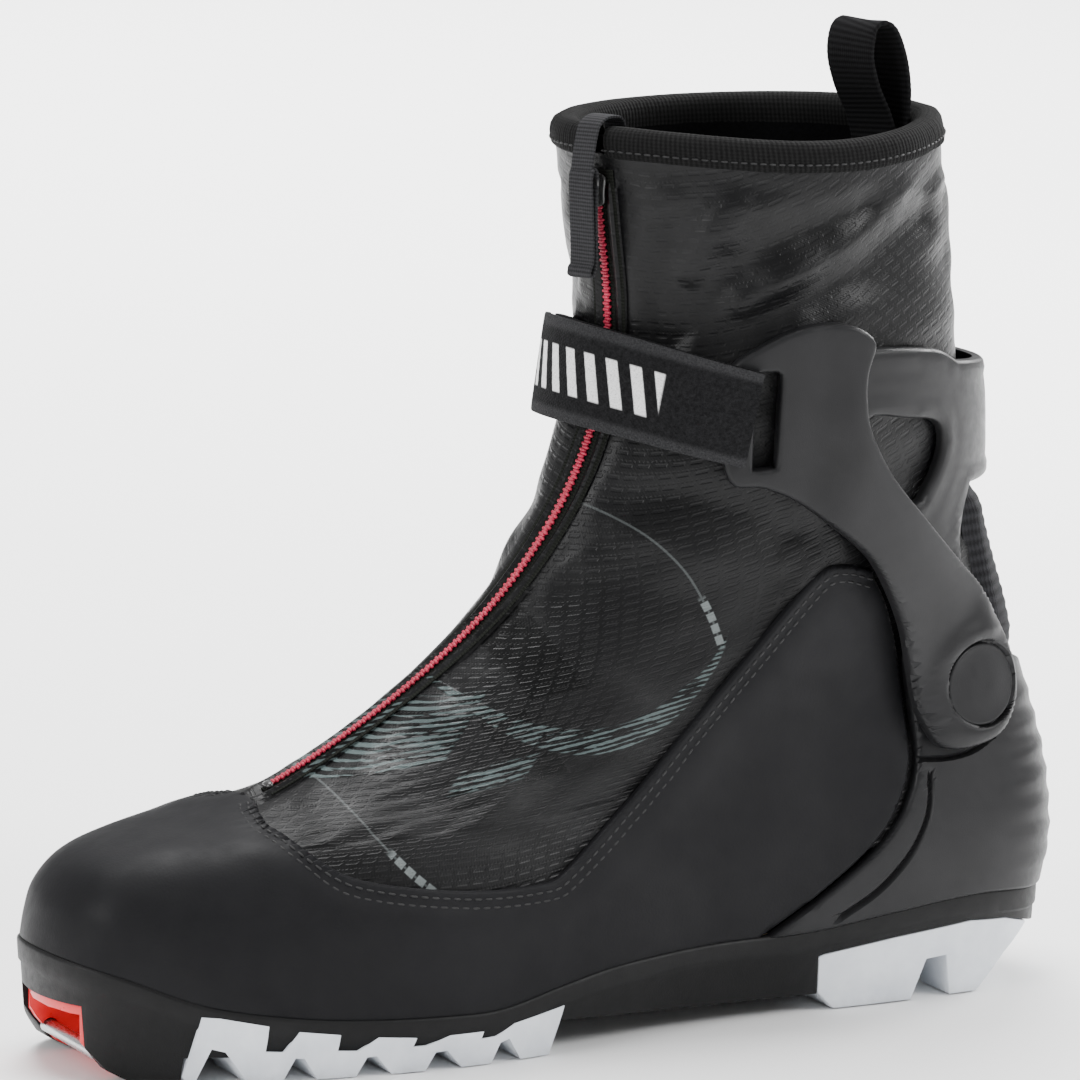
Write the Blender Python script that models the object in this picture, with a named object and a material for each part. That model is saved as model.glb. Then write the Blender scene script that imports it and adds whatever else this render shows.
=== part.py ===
"""Cross-country skating boot for the left foot, in metres, +Z up, toe towards -X, lateral side towards -Y.

Every layer of the upper is laid on one smooth surface, the skin. A place on the skin is (theta, level):
theta is 0 on the front centre line, pi on the back, positive on the lateral side, and level counts
stations from the feather line above the sole (0) to the collar rim (15).
"""

import math

import bmesh
import bpy
from mathutils import Matrix, Vector
from mathutils.geometry import delaunay_2d_cdt

MM = 0.001
FULL_TURN = 2 * math.pi

# Stations of the skin, in mm: front x and z, back x and z, half width, roundness of plan, share of sole's dip
STATIONS = (
    (-148.5, 32, 144.5, 27, 47.5, 0.00, 1.00),
    (-147.0, 40, 147.0, 40, 48.0, 0.00, 0.80),
    (-144.5, 47.5, 147.0, 52, 47.0, 0.05, 0.55),
    (-138.5, 54, 146.0, 62, 44.5, 0.15, 0.32),
    (-128.5, 58.0, 144.0, 71, 42.0, 0.30, 0.16),
    (-110.0, 61.5, 141.0, 82, 39.5, 0.45, 0.06),
    (-87.0, 67.5, 138.0, 93, 37.5, 0.62, 0.00),
    (-61.5, 80.5, 135.5, 104, 36.5, 0.78, 0.00),
    (-37.5, 97.5, 132.0, 115, 36.5, 0.90, 0.00),
    (-20.0, 114.8, 128.5, 127, 37.0, 1.00, 0.00),
    (-6.5, 135, 125.5, 140, 38.0, 1.00, 0.00),
    (3.5, 156.5, 123.0, 155, 39.5, 1.00, 0.00),
    (9.5, 176, 121.0, 172, 41.0, 1.00, 0.00),
    (10.0, 196, 119.0, 192, 42.0, 1.00, 0.00),
    (8.0, 216, 117.0, 215, 42.5, 1.00, 0.00),
    (5.5, 238, 115.0, 238, 43.5, 1.00, 0.00),
)
TOP_LEVEL = len(STATIONS) - 1

# Half width of a foot as a share of its widest, against the share of its length from the toe
FOOT_OUTLINE = (
    (0.0, 0.0), (0.017, 0.41), (0.05, 0.59), (0.10, 0.74), (0.17, 0.87), (0.24, 0.95), (0.32, 1.0),
    (0.40, 0.985), (0.50, 0.88), (0.60, 0.77), (0.70, 0.73), (0.82, 0.735), (0.91, 0.69), (0.96, 0.56),
    (0.99, 0.30), (1.0, 0.0),
)
# Top edge of the sole's lip, x and z in mm
LIP_LINE = (
    (-152, 33.5), (-136, 28.5), (-118, 21.5), (-100, 18), (-80, 15.8), (-52, 14.7), (-38, 14.9), (-20, 18.5),
    (0, 21.6), (30, 23), (62, 23.2), (86, 26), (114, 28.5), (135, 27), (150, 26),
)
TOE_LEAN = 3.0
TOE_LEAN_START = -40.0

# Layers of the upper, as heights above the skin in mm, inner face first
SOFTSHELL = (-1.9, -0.4)
LINING = (-7.0, -3.1)
TONGUE = (-10.0, -7.8)
OVERLAY = (0.9, 2.2)
COUNTER = (0.9, 3.3)
ARM_GAP = 6.0
ARM_HEAD_GAP = 3.2
ARM_THICKNESS = 3.6
SPOILER_SIDE_GAP = 2.0
SPOILER_BACK_GAP = 4.6
SPOILER_FOOT_GAP = 2.8
SPOILER_THICKNESS = 2.7

# Layers of the sole below the lip line, in mm
FLOOR_DEPTH = 5.6
SHANK = (0.3, 1.4)
LASTING_BOARD = (1.8, 3.3)
SKIN_FOOT = 4.0
FOOTBED = (3.7, 8.2)
LIP_INNER = 0.6
LIP_OUTER = 2.6

# Joints, in mm
PIVOT_X = 113.8
PIVOT_Z = 86.0
SLIDER_X = 6.3
SLIDER_Z = 227.0

# Sole, in mm
TREAD_TOP = 6.7
GROOVE_INNER = 8.5
GROOVE_OUTER = 18.0
LUG_DEPTH = 4.6
HEEL_GROOVE_DEPTH = 7.0
TOE_BAR_X = -140.5
TOE_BAR_Z = 7.0
TOE_BAR_RADIUS = 2.0
RECESS_BACK = -128.0
RECESS_HALF = 17.5
RECESS_TOP = 20.0
INSERT_WALL = 2.6
TREAD_COLUMNS = (
    ("lateral", -80, -GROOVE_OUTER),
    ("middle", -GROOVE_INNER, GROOVE_INNER),
    ("medial", GROOVE_OUTER, 80),
)
FOREFOOT_LUGS = ((-117.8, 8), (-102, 10), (-83.5, 10), (-64, 10), (-44.5, 10), (-27, 9))

# Opening of the vamp under the zip, and the zip itself
SLIT = 0.085
ZIP_END_LEVEL = 6.0
ZIP_LEAN = 0.29
CUFF_SPLIT_FRONT = 11.1
RIM_RISE = 0.18
STRAP_HALF_WIDTH = 0.68
STRAP_SLOT_ANGLE = 1.15
STRAP_MEDIAL_ANGLE = -1.33
STRAP_FRONT_HEIGHT = 3.9
STRAP_SIDE_HEIGHT = 7.3
RIVET_PLACE = (42, 166)
LOOP_ROUTE = (
    (98, 224), (97.8, 233), (95.6, 241), (92, 249), (90, 257), (90.9, 263.8), (94, 266), (97.4, 264),
    (100.2, 257), (101.5, 249), (101.4, 241), (100.9, 227),
)
RING_COUNT = 37


def clear_scene():
    for obj in list(bpy.data.objects):
        bpy.data.objects.remove(obj, do_unlink=True)


def smooth(points, x):
    """Value at x of a smooth curve through points, a list of (x, value) in rising x."""
    last = len(points) - 2
    i = next((k for k in range(last) if x < points[k + 1][0]), last)

    def slope(k):
        a = points[max(k - 1, 0)]
        b = points[min(k + 1, last + 1)]
        return (b[1] - a[1]) / (b[0] - a[0])

    (x0, y0), (x1, y1) = points[i], points[i + 1]
    h = x1 - x0
    t = (x - x0) / h
    if t < 0 or t > 1:
        return y0 + slope(i) * (x - x0) if t < 0 else y1 + slope(i + 1) * (x - x1)
    rise = y0 * (2 * t**3 - 3 * t**2 + 1) + y1 * (3 * t**2 - 2 * t**3)
    return rise + h * (slope(i) * (t**3 - 2 * t**2 + t) + slope(i + 1) * (t**3 - t**2))


def ease(value, low, high):
    t = max(0.0, min(1.0, (value - low) / (high - low)))
    return t * t * (3 - 2 * t)


COLUMNS = [[(level, row[k]) for level, row in enumerate(STATIONS)] for k in range(7)]
OUTLINE_BY_ANGLE = [(math.acos(1 - 2 * share), width) for share, width in FOOT_OUTLINE]


def wrapped(theta):
    """Theta as an angle from 0 to pi away from the front, and its side: 1 lateral, -1 medial."""
    theta = math.remainder(theta, FULL_TURN)
    return abs(theta), 1 if theta >= 0 else -1


def bare_skin(theta, level):
    fx, fz, bx, bz, half, roundness, dip = (smooth(column, level) for column in COLUMNS)
    angle, side = wrapped(theta)
    share = (1 - math.cos(angle)) / 2
    x = fx + share * (bx - fx)
    flat_z = STATIONS[0][1] + (x - STATIONS[0][0]) * (STATIONS[0][3] - STATIONS[0][1]) / 293
    z = fz + share * (bz - fz) + dip * (smooth(LIP_LINE, x) - FLOOR_DEPTH + SKIN_FOOT - flat_z)
    plan = (1 - roundness) * smooth(OUTLINE_BY_ANGLE, angle) + roundness * math.sin(angle)
    lean = TOE_LEAN * max(0.0, (TOE_LEAN_START - x) / 108) ** 2
    return Vector((x, lean - side * half * plan, z))


def skin(theta, level, height=0.0):
    """Point of the skin in mm, raised by height along the skin's normal."""
    step = 0.02
    around = bare_skin(theta + step, level) - bare_skin(theta - step, level)
    up = bare_skin(theta, level + step) - bare_skin(theta, level - step)
    return bare_skin(theta, level) + around.cross(up).normalized() * height


def locate(x, z, height=0.0, side=1):
    """Place (theta, level) on the skin, whose raised point is seen from the side at x, z in mm."""
    aim_x, aim_z = x, z
    for _ in range(4):
        low, high = -0.5, TOP_LEVEL + 0.5
        for _ in range(30):
            level = (low + high) / 2
            fx, fz, bx, bz, _, _, dip = (smooth(column, level) for column in COLUMNS)
            share = max(0.0, min(1.0, (aim_x - fx) / (bx - fx)))
            theta = math.acos(1 - 2 * share)
            low, high = (level, high) if bare_skin(theta, level).z < aim_z else (low, level)
        miss = skin(theta, level, height)
        aim_x += x - miss.x
        aim_z += z - miss.z
    return side * theta, level


def rounded(points, step=6.0, closed=True):
    """Points about a step apart, in mm, on a smooth curve through points."""
    out = []
    count = len(points)
    for i in range(count if closed else count - 1):
        if closed:
            ring = [Vector(points[(i + k) % count]) for k in (-1, 0, 1, 2)]
        else:
            ring = [Vector(points[max(0, min(count - 1, i + k))]) for k in (-1, 0, 1, 2)]
        a, b, c, d = ring
        parts = max(1, round((c - b).length / step))
        for k in range(parts):
            t = k / parts
            square = (2 * a - 5 * b + 4 * c - d) * t**2
            cube = (3 * b - a - 3 * c + d) * t**3
            out.append(tuple((2 * b + (c - a) * t + square + cube) / 2))
    return out if closed else out + [tuple(points[-1])]


def trace(points, height=0.0, side=1):
    return [locate(x, z, height, side) for x, z in points]


def circle(radius, height, side=1, x=PIVOT_X, z=PIVOT_Z, sides=20):
    """A circle seen from the side, as places on the skin; its middle is at x, z on the given height."""
    turns = [FULL_TURN * k / sides for k in range(sides)]
    return trace([(x + radius * math.cos(t), z + radius * math.sin(t)) for t in turns], height, side)


def new_object(name, points, faces, colour, roughness=0.6, metallic=0.0):
    """Object from points in mm and faces, in one closed mesh that faces out."""
    mesh = bpy.data.meshes.new(name)
    mesh.from_pydata([tuple(c * MM for c in p) for p in points], [], faces)
    work = bmesh.new()
    work.from_mesh(mesh)
    bmesh.ops.recalc_face_normals(work, faces=work.faces)
    if work.calc_volume(signed=True) < 0:
        bmesh.ops.reverse_faces(work, faces=work.faces)
    work.to_mesh(mesh)
    work.free()
    mesh.shade_smooth()
    mesh.set_sharp_from_angle(angle=math.radians(35))
    obj = bpy.data.objects.new(name, mesh)
    bpy.context.scene.collection.objects.link(obj)
    material = bpy.data.materials.new(name)
    material.use_nodes = True
    shader = material.node_tree.nodes["Principled BSDF"]
    shader.inputs["Base Color"].default_value = (*colour, 1.0)
    shader.inputs["Roughness"].default_value = roughness
    shader.inputs["Metallic"].default_value = metallic
    mesh.materials.append(material)
    return obj


def thicken(name, places, faces, layer, colour, roughness=0.6):
    """Closed solid from a sheet of faces on the skin; layer gives its inner and outer height at a place."""
    heights = [layer(*p) if callable(layer) else layer for p in places]
    outer = [skin(*p, h[1]) for p, h in zip(places, heights)]
    inner = [skin(*p, h[0]) for p, h in zip(places, heights)]
    count = len(places)
    edges = {}
    for face in faces:
        for a, b in zip(face, face[1:] + face[:1]):
            edges[a, b] = True
    walls = [(a, b, b + count, a + count) for a, b in edges if (b, a) not in edges]
    solid = list(faces) + [tuple(k + count for k in reversed(face)) for face in faces]
    solid += [tuple(reversed(wall)) for wall in walls]
    return new_object(name, outer + inner, solid, colour, roughness)


def inside(point, polygon):
    crossings = 0
    x, y = point
    for (ax, ay), (bx, by) in zip(polygon, polygon[1:] + polygon[:1]):
        if (ay > y) != (by > y) and x < ax + (y - ay) * (bx - ax) / (by - ay):
            crossings += 1
    return crossings % 2 == 1


def plate(name, outline, layer, colour, holes=(), theta_step=0.18, level_step=0.7, roughness=0.6):
    """Solid laid on the skin inside an outline of places, with holes; grid points carry the curve between."""
    scale = Vector((1 / theta_step, 1 / level_step))
    flat = [[(t * scale.x, v * scale.y) for t, v in ring] for ring in (outline, *holes)]
    points, edges = [], []
    for ring in flat:
        first = len(points)
        points += [Vector(p) for p in ring]
        edges += [(first + k, first + (k + 1) % len(ring)) for k in range(len(ring))]
    border = list(points)
    low = [math.floor(min(p[k] for p in flat[0])) for k in (0, 1)]
    high = [math.ceil(max(p[k] for p in flat[0])) for k in (0, 1)]
    for i in range(low[0], high[0] + 1):
        for j in range(low[1], high[1] + 1):
            p = Vector((i, j))
            kept = inside(p, flat[0]) and not any(inside(p, hole) for hole in flat[1:])
            if kept and min((p - q).length for q in border) > 0.45:
                points.append(p)
    verts, _, faces = delaunay_2d_cdt(points, edges, [], 0, 1e-6)[:3]
    kept = []
    for face in faces:
        middle = sum((verts[k] for k in face), Vector((0, 0))) / 3
        if inside(middle, flat[0]) and not any(inside(middle, hole) for hole in flat[1:]):
            kept.append(tuple(face))
    used = sorted({k for face in kept for k in face})
    index = {k: n for n, k in enumerate(used)}
    places = [(verts[k].x / scale.x, verts[k].y / scale.y) for k in used]
    return thicken(name, places, [tuple(index[k] for k in face) for face in kept], layer, colour, roughness)


def grid(columns, rows, closed=False):
    """Faces of a grid numbered column by column."""
    across = columns if closed else columns - 1
    return [
        (i * rows + j, (i + 1) % columns * rows + j, (i + 1) % columns * rows + j + 1, i * rows + j + 1)
        for i in range(across)
        for j in range(rows - 1)
    ]


def zip_theta(level):
    return ZIP_LEAN * ease(level, 6.5, 11.0)


def ring(name, bottom, top, rows, layer, colour, slit_from=None, roughness=0.8):
    """Sleeve round the foot between two level lines, open along the zip above slit_from."""
    places = []
    for i in range(RING_COUNT):
        share = SLIT + (FULL_TURN - 2 * SLIT) * i / (RING_COUNT - 1)
        for j in range(rows):
            low, high = bottom(share), top(share)
            level = low + (high - low) * j / (rows - 1)
            places.append((zip_theta(level) + share, level))
    faces = grid(RING_COUNT, rows, closed=True)
    if slit_from is not None:
        last = (RING_COUNT - 1) * rows
        faces = [f for f in faces if not (f[0] >= last and places[f[0]][1] > slit_from)]
    return thicken(name, places, faces, layer, colour, roughness)


def level_line(front, points, back):
    """Level against theta for a line seen from the side at points (x, z), given its front and back levels."""
    middle = [locate(x, z) for x, z in points]
    return [(0.0, front)] + middle + [(math.pi, back)]


VAMP_TOP = level_line(8.75, ((30, 119), (60, 119), (95, 113)), 7.1)
COLLAR_LOW = level_line(CUFF_SPLIT_FRONT, ((30, 152), (60, 143), (95, 130)), 8.8)


def along_line(line, theta):
    return smooth(line, wrapped(theta)[0])


def rim_level(theta):
    """Level of the collar's rim, which dips on the lateral side."""
    angle, side = wrapped(theta)
    return 15.03 + RIM_RISE * (1 - math.exp(-(((side * angle - 1.4) / 0.8) ** 2)))


def strip(name, low, high, half, layer, colour, rows, columns=5, roughness=0.8):
    """Band along the zip between two levels, half wide each side in radians."""
    places = []
    for i in range(columns):
        share = half * (1 - 2 * i / (columns - 1))
        for j in range(rows):
            level = low + (high - low) * j / (rows - 1)
            places.append((zip_theta(level) + share, level))
    return thicken(name, places, grid(columns, rows), layer, colour, roughness)


def sole_outline(height, count=48):
    """Plan of the sole: points at level 0 of the skin, moved out by height."""
    points = []
    for k in range(count):
        theta = FULL_TURN * (k + 0.5) / count
        p = bare_skin(theta, 0)
        q = bare_skin(theta + 0.02, 0) - bare_skin(theta - 0.02, 0)
        out = Vector((q.y, -q.x, 0)).normalized()
        points.append(Vector((p.x, p.y, 0)) + out * height)
    return points


def stack(name, rings, colour, roughness=0.7):
    """Solid from rings of equal count, one above the other, closed below and above by strips across."""
    count = len(rings[0])
    points = [p for r in rings for p in r]
    faces = []
    for level in range(len(rings) - 1):
        base = level * count
        for k in range(count):
            n = (k + 1) % count
            faces.append((base + k, base + n, base + count + n, base + count + k))
    for base in (0, (len(rings) - 1) * count):
        faces.append((base, base + 1, base + count - 2, base + count - 1))
        for k in range(1, count // 2 - 1):
            faces.append((base + k, base + k + 1, base + count - 2 - k, base + count - 1 - k))
    return new_object(name, points, faces, colour, roughness)


def at_lip(points, depth):
    """Points at depth below the lip line, or above it where depth is negative."""
    return [Vector((p.x, p.y, smooth(LIP_LINE, p.x) - depth)) for p in points]


def flat_at(points, z):
    return [Vector((p.x, p.y, z)) for p in points]


def cutter(name, outline, low, high):
    """Prism of an outline in x, z between y = low and y = high, used only to cut."""
    count = len(outline)
    points = [Vector((x, low, z)) for x, z in outline] + [Vector((x, high, z)) for x, z in outline]
    faces = [tuple(range(count)), tuple(range(2 * count - 1, count - 1, -1))]
    faces += [(k, (k + 1) % count, (k + 1) % count + count, k + count) for k in range(count)]
    obj = new_object(name, points, faces, (0.5, 0.5, 0.5))
    hide(obj)
    return obj


def box_cutter(name, low, high):
    (x0, y0, z0), (x1, y1, z1) = low, high
    return cutter(name, ((x0, z0), (x1, z0), (x1, z1), (x0, z1)), y0, y1)


def hide(obj):
    obj.hide_render = True
    obj.display_type = "WIRE"


def boolean(obj, other, operation="DIFFERENCE"):
    change = obj.modifiers.new(other.name, "BOOLEAN")
    change.operation = operation
    change.object = other
    change.solver = "EXACT"


def rod(name, start, end, radius, colour, sides=16, roughness=0.3, metallic=1.0):
    """Round bar between two points in mm."""
    start, end = Vector(start), Vector(end)
    axis = (end - start).normalized()
    side = axis.orthogonal().normalized()
    other = axis.cross(side)
    points = []
    for centre in (start, end):
        for k in range(sides):
            turn = FULL_TURN * k / sides
            points.append(centre + radius * (side * math.cos(turn) + other * math.sin(turn)))
    faces = [tuple(range(sides)), tuple(range(2 * sides - 1, sides - 1, -1))]
    faces += [(k, (k + 1) % sides, (k + 1) % sides + sides, k + sides) for k in range(sides)]
    return new_object(name, points, faces, colour, roughness, metallic)


def ribbon(name, path, across, width, thickness, colour, roughness=0.8):
    """Flat band along a path of points in mm; across is its width's direction."""
    across = Vector(across).normalized()
    path = [Vector(p) for p in path]
    points, faces = [], []
    for k, p in enumerate(path):
        ahead = path[min(k + 1, len(path) - 1)] - path[max(k - 1, 0)]
        out = across.cross(ahead).normalized()
        for side, lift in ((-1, -1), (1, -1), (1, 1), (-1, 1)):
            points.append(p + across * side * width / 2 + out * lift * thickness / 2)
    for k in range(len(path) - 1):
        for n in range(4):
            m = (n + 1) % 4
            faces.append((4 * k + n, 4 * k + m, 4 * k + 4 + m, 4 * k + 4 + n))
    faces += [(0, 1, 2, 3), tuple(4 * (len(path) - 1) + n for n in (3, 2, 1, 0))]
    return new_object(name, points, faces, colour, roughness)


def make_origin(obj, place):
    """Moves an object's origin to place, in mm, and leaves its shape where it is."""
    shift = Vector(place) * MM
    obj.data.transform(Matrix.Translation(-shift))
    obj.location = shift


# Colours
BLACK_TEXTILE = (0.012, 0.012, 0.013)
CHARCOAL = (0.022, 0.022, 0.024)
DARK_GREY = (0.055, 0.055, 0.057)
SOLE_BLACK = (0.016, 0.016, 0.016)
TREAD_WHITE = (0.66, 0.69, 0.73)
BRIGHT_RED = (0.75, 0.01, 0.015)
ZIP_RED = (0.45, 0.02, 0.05)
STEEL = (0.62, 0.62, 0.63)
FOAM_GREY = (0.10, 0.10, 0.10)
BOARD_TAN = (0.42, 0.33, 0.22)

# Side outlines, x and z in mm
TOE_CUT = ((-170, -5), (-170, 19), (-150.5, 19), (-145, 10), (-139.5, 3), (-134, 0), (-134, -5))
UNDERSIDE = (
    (-123.5, -5), (-122.5, 7), (-60, 7), (-38, 7.2), (-30, 8), (-20, 9), (2, 7.4), (28, 5.8), (64.2, 4.8),
    (64.2, 15.5), (66, 16), (88, 18.6), (112, 20.6), (124.5, 19.6), (133.5, 17), (165, 8), (165, -5),
)
HEEL_BLOCK = (
    (64.5, 5.2), (69.6, 0), (93.6, 0), (98.2, 11), (104.5, 11.5), (106, 0), (115, 0), (124.7, 9.4), (134, 16.2),
    (133.5, 16.7), (124.5, 19.3), (112, 20.3), (88, 18.3), (66, 15.7), (64.5, 15.2),
)
SEAM = (
    (-91, 64), (-77, 53), (-48, 47.6), (-25, 47), (-16, 49.7), (8, 68), (26, 85), (44, 103), (62, 121),
    (71, 123.4), (80, 121),
)
RAND_BACK = (
    (80, 121), (86, 108), (89.5, 95), (91.5, 77), (91.5, 66), (88, 58), (82.5, 50.5), (73.5, 42.3), (60, 34),
)
SPOILER_BACK_LOW = 10.0
SPOILER_BACK_TOP = 12.05
COUNTER_SHIFT = 2.3
COUNTER_BACK_TOP = 5.35
COUNTER_TOP = ((96, 98), (112, 98.5), (124, 94.5))
ARM_OUTLINE = (
    (96.7, 75.1), (93.2, 82.3), (90.7, 93.3), (88.2, 103.5), (83.2, 113.9), (75.6, 125.2), (64.8, 134.4),
    (52.8, 142.8), (42.5, 147.3), (33.5, 149.3), (30.8, 165), (32.5, 179), (41, 185.6), (51, 190), (61, 191.3),
    (68.2, 190), (73.2, 185.5), (71.4, 178), (71.2, 170.5), (73.2, 161.3), (80.8, 148.7), (92.2, 136.6),
    (106.6, 122.5), (116.5, 113), (122.3, 104), (127, 95), (128.6, 87), (126.8, 78.6), (120.5, 72), (109, 69.6),
    (100.5, 71),
)
STRAP_SLOT = ((40.3, 152.6), (46.4, 153), (47.2, 178.8), (41.2, 178.8))
SPOILER_SIDE = ((69, 182), (76, 183.2), (83.5, 182.7), (92, 181.8), (100, 180.3), (107, 176.5))
SPOILER_FRONT = ((112, 117), (111, 125), (112, 133), (115, 141))
SPOILER_HIDDEN = ((68.2, 174), (69, 162), (75, 149), (86, 136), (97, 125), (104, 115))
WINDOW = (
    (74.5, 164), (88, 162.8), (98, 161), (101.8, 157.5), (102, 152.5), (99.5, 146.5), (96, 141.5), (92.5, 138.5),
    (85, 145), (77, 153),
)


def lip_level(theta, lift=1.0):
    """Level at which the skin rises lift mm above the sole's lip."""
    low, high = 0.0, 2.0
    for _ in range(24):
        level = (low + high) / 2
        p = bare_skin(theta, level)
        low, high = (level, high) if p.z < smooth(LIP_LINE, p.x) + lift else (low, level)
    return level


def outline_body(name, height_low, height_high, top, colour, bottom=0.3):
    """Block of the sole's plan from near the ground up to top, a function that sets each point's height."""
    return stack(name, [flat_at(sole_outline(height_low), bottom), top(sole_outline(height_high))], colour)


def make_chassis():
    chassis = outline_body("outsole_chassis", 0.4, LIP_OUTER, lambda p: at_lip(p, 0.0), SOLE_BLACK)
    tray = stack(
        "tray_cutter",
        [at_lip(sole_outline(LIP_INNER), FLOOR_DEPTH), at_lip(sole_outline(LIP_INNER), -10.0)],
        SOLE_BLACK,
    )
    hide(tray)
    boolean(chassis, tray)
    boolean(chassis, cutter("toe_front_cutter", TOE_CUT, -80, 80))
    boolean(chassis, cutter("underside_cutter", UNDERSIDE, -80, 80))
    recess = box_cutter("toe_recess_cutter", (-170, -RECESS_HALF, -5), (RECESS_BACK, RECESS_HALF, RECESS_TOP))
    boolean(chassis, recess)


def make_forefoot_tread():
    profile = [(-121.9, TREAD_TOP)]
    for middle, width in FOREFOOT_LUGS:
        profile += [(middle - width / 2, LUG_DEPTH), (middle - width * 0.4, 0)]
        profile += [(middle + width * 0.4, 0), (middle + width / 2, LUG_DEPTH)]
    profile += [(-22, LUG_DEPTH), (-22, TREAD_TOP)]
    for column, low, high in TREAD_COLUMNS:
        tread = outline_body(f"forefoot_tread_{column}", 0.4, 0.7, lambda p: flat_at(p, 12), TREAD_WHITE, -1)
        boolean(tread, cutter(f"forefoot_profile_{column}", profile, low, high), "INTERSECT")


def make_heel_tread():
    tread = outline_body("heel_tread", 0.4, 1.8, lambda p: flat_at(p, 24), TREAD_WHITE, bottom=-1)
    boolean(tread, cutter("heel_profile", HEEL_BLOCK, -80, 80), "INTERSECT")
    for side in (-1, 1):
        y = sorted((side * GROOVE_INNER, side * GROOVE_OUTER))
        groove = box_cutter(f"heel_groove_{side}", (55, y[0], -5), (160, y[1], HEEL_GROOVE_DEPTH))
        boolean(tread, groove)


def make_toe_insert():
    outer = RECESS_HALF - 0.4
    top = RECESS_TOP - 0.4
    insert = outline_body("toe_insert", -0.2, -0.2, lambda p: flat_at(p, top), BRIGHT_RED, bottom=1.2)
    bounds = box_cutter("toe_insert_bounds", (-170, -outer, -5), (RECESS_BACK - 0.4, outer, 40))
    boolean(insert, bounds, "INTERSECT")
    inner = outer - INSERT_WALL
    hollow = box_cutter("toe_insert_hollow", (-170, -inner, -5), (RECESS_BACK - 3, inner, RECESS_TOP - 3))
    boolean(insert, hollow)
    shifted = [(x + 0.6, z) for x, z in TOE_CUT]
    boolean(insert, cutter("toe_insert_front", shifted, -80, 80))
    ends = [(TOE_BAR_X, y, TOE_BAR_Z) for y in (-30, 30)]
    bore = rod("toe_bar_bore", *ends, TOE_BAR_RADIUS + 0.35, STEEL)
    hide(bore)
    boolean(insert, bore)


def make_toe_bar():
    half = RECESS_HALF - 0.5
    ends = [(TOE_BAR_X, side * half, TOE_BAR_Z) for side in (-1, 1)]
    rod("toe_bar", *ends, TOE_BAR_RADIUS, STEEL)


def make_boards():
    board = [at_lip(sole_outline(0.0), FLOOR_DEPTH - h) for h in LASTING_BOARD]
    stack("lasting_board", board, BOARD_TAN)
    foot = [at_lip(sole_outline(-8.4), FLOOR_DEPTH - h) for h in FOOTBED]
    stack("footbed", foot, FOAM_GREY)
    xs = [-20 + 13 * k for k in range(11)]
    half = 11.0
    edge = [Vector((x, -half, 0)) for x in xs] + [Vector((x, half, 0)) for x in reversed(xs)]
    points = [p for h in SHANK for p in at_lip(edge, FLOOR_DEPTH - h)]
    count = len(xs)
    total = 2 * count
    faces = [(k, k + 1, total - 2 - k, total - 1 - k) for k in range(count - 1)]
    faces += [tuple(n + total for n in reversed(f)) for f in faces]
    faces += [(k, (k + 1) % total, (k + 1) % total + total, k + total) for k in range(total)]
    new_object("steel_shank", points, faces, STEEL, 0.35, 1.0)


def make_upper():
    ring(
        "softshell_vamp",
        lambda t: 0.0,
        lambda t: along_line(VAMP_TOP, t),
        11,
        SOFTSHELL,
        BLACK_TEXTILE,
        ZIP_END_LEVEL,
    )
    ring("inner_bootie", lambda t: 0.02, lambda t: along_line(VAMP_TOP, t) - 0.1, 9, LINING, FOAM_GREY)
    ring(
        "ankle_gusset",
        lambda t: along_line(VAMP_TOP, t) + 0.1,
        lambda t: along_line(COLLAR_LOW, t) - 0.1,
        3,
        SOFTSHELL,
        BLACK_TEXTILE,
        0.0,
    )
    ring(
        "collar_gaiter",
        lambda t: along_line(COLLAR_LOW, t),
        lambda t: rim_level(t) - 0.31,
        7,
        SOFTSHELL,
        BLACK_TEXTILE,
        0.0,
    )
    ring(
        "collar_lining",
        lambda t: along_line(COLLAR_LOW, t) + 0.1,
        lambda t: rim_level(t) - 0.33,
        6,
        LINING,
        FOAM_GREY,
    )
    ring("collar_binding", lambda t: rim_level(t) - 0.27, rim_level, 2, (-7.4, 0.8), BLACK_TEXTILE, 0.0)
    tongue = [(0.75 - 1.5 * i / 6, 6.5 + 2.0 * j / 4) for i in range(7) for j in range(5)]
    thicken("tongue", tongue, grid(7, 5), TONGUE, FOAM_GREY)
    panel = [(math.pi - 0.42 + 0.84 * i / 6, 7.25 + 1.3 * j / 4) for i in range(7) for j in range(5)]
    thicken("achilles_flex_panel", panel, grid(7, 5), (0.2, 1.4), CHARCOAL)


def make_rand():
    seam = trace(rounded(SEAM, 9, closed=False), OVERLAY[1])
    back = trace(rounded(RAND_BACK, 9, closed=False), OVERLAY[1])[1:]
    reach = trace([(46, 26)], OVERLAY[1])[0][0]
    lateral = [(0.18, 5.82), (0.36, 5.5)] + seam + back
    bottom = [reach * (1 - 2 * k / 60) for k in range(61)]
    foot = [(theta, lip_level(theta)) for theta in bottom]
    medial = [(-theta, level) for theta, level in reversed(lateral)]
    outline = [(0.0, 5.92)] + lateral + foot + medial
    plate("toe_rand", outline, OVERLAY, CHARCOAL, theta_step=0.16, level_step=0.6, roughness=0.65)


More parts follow.
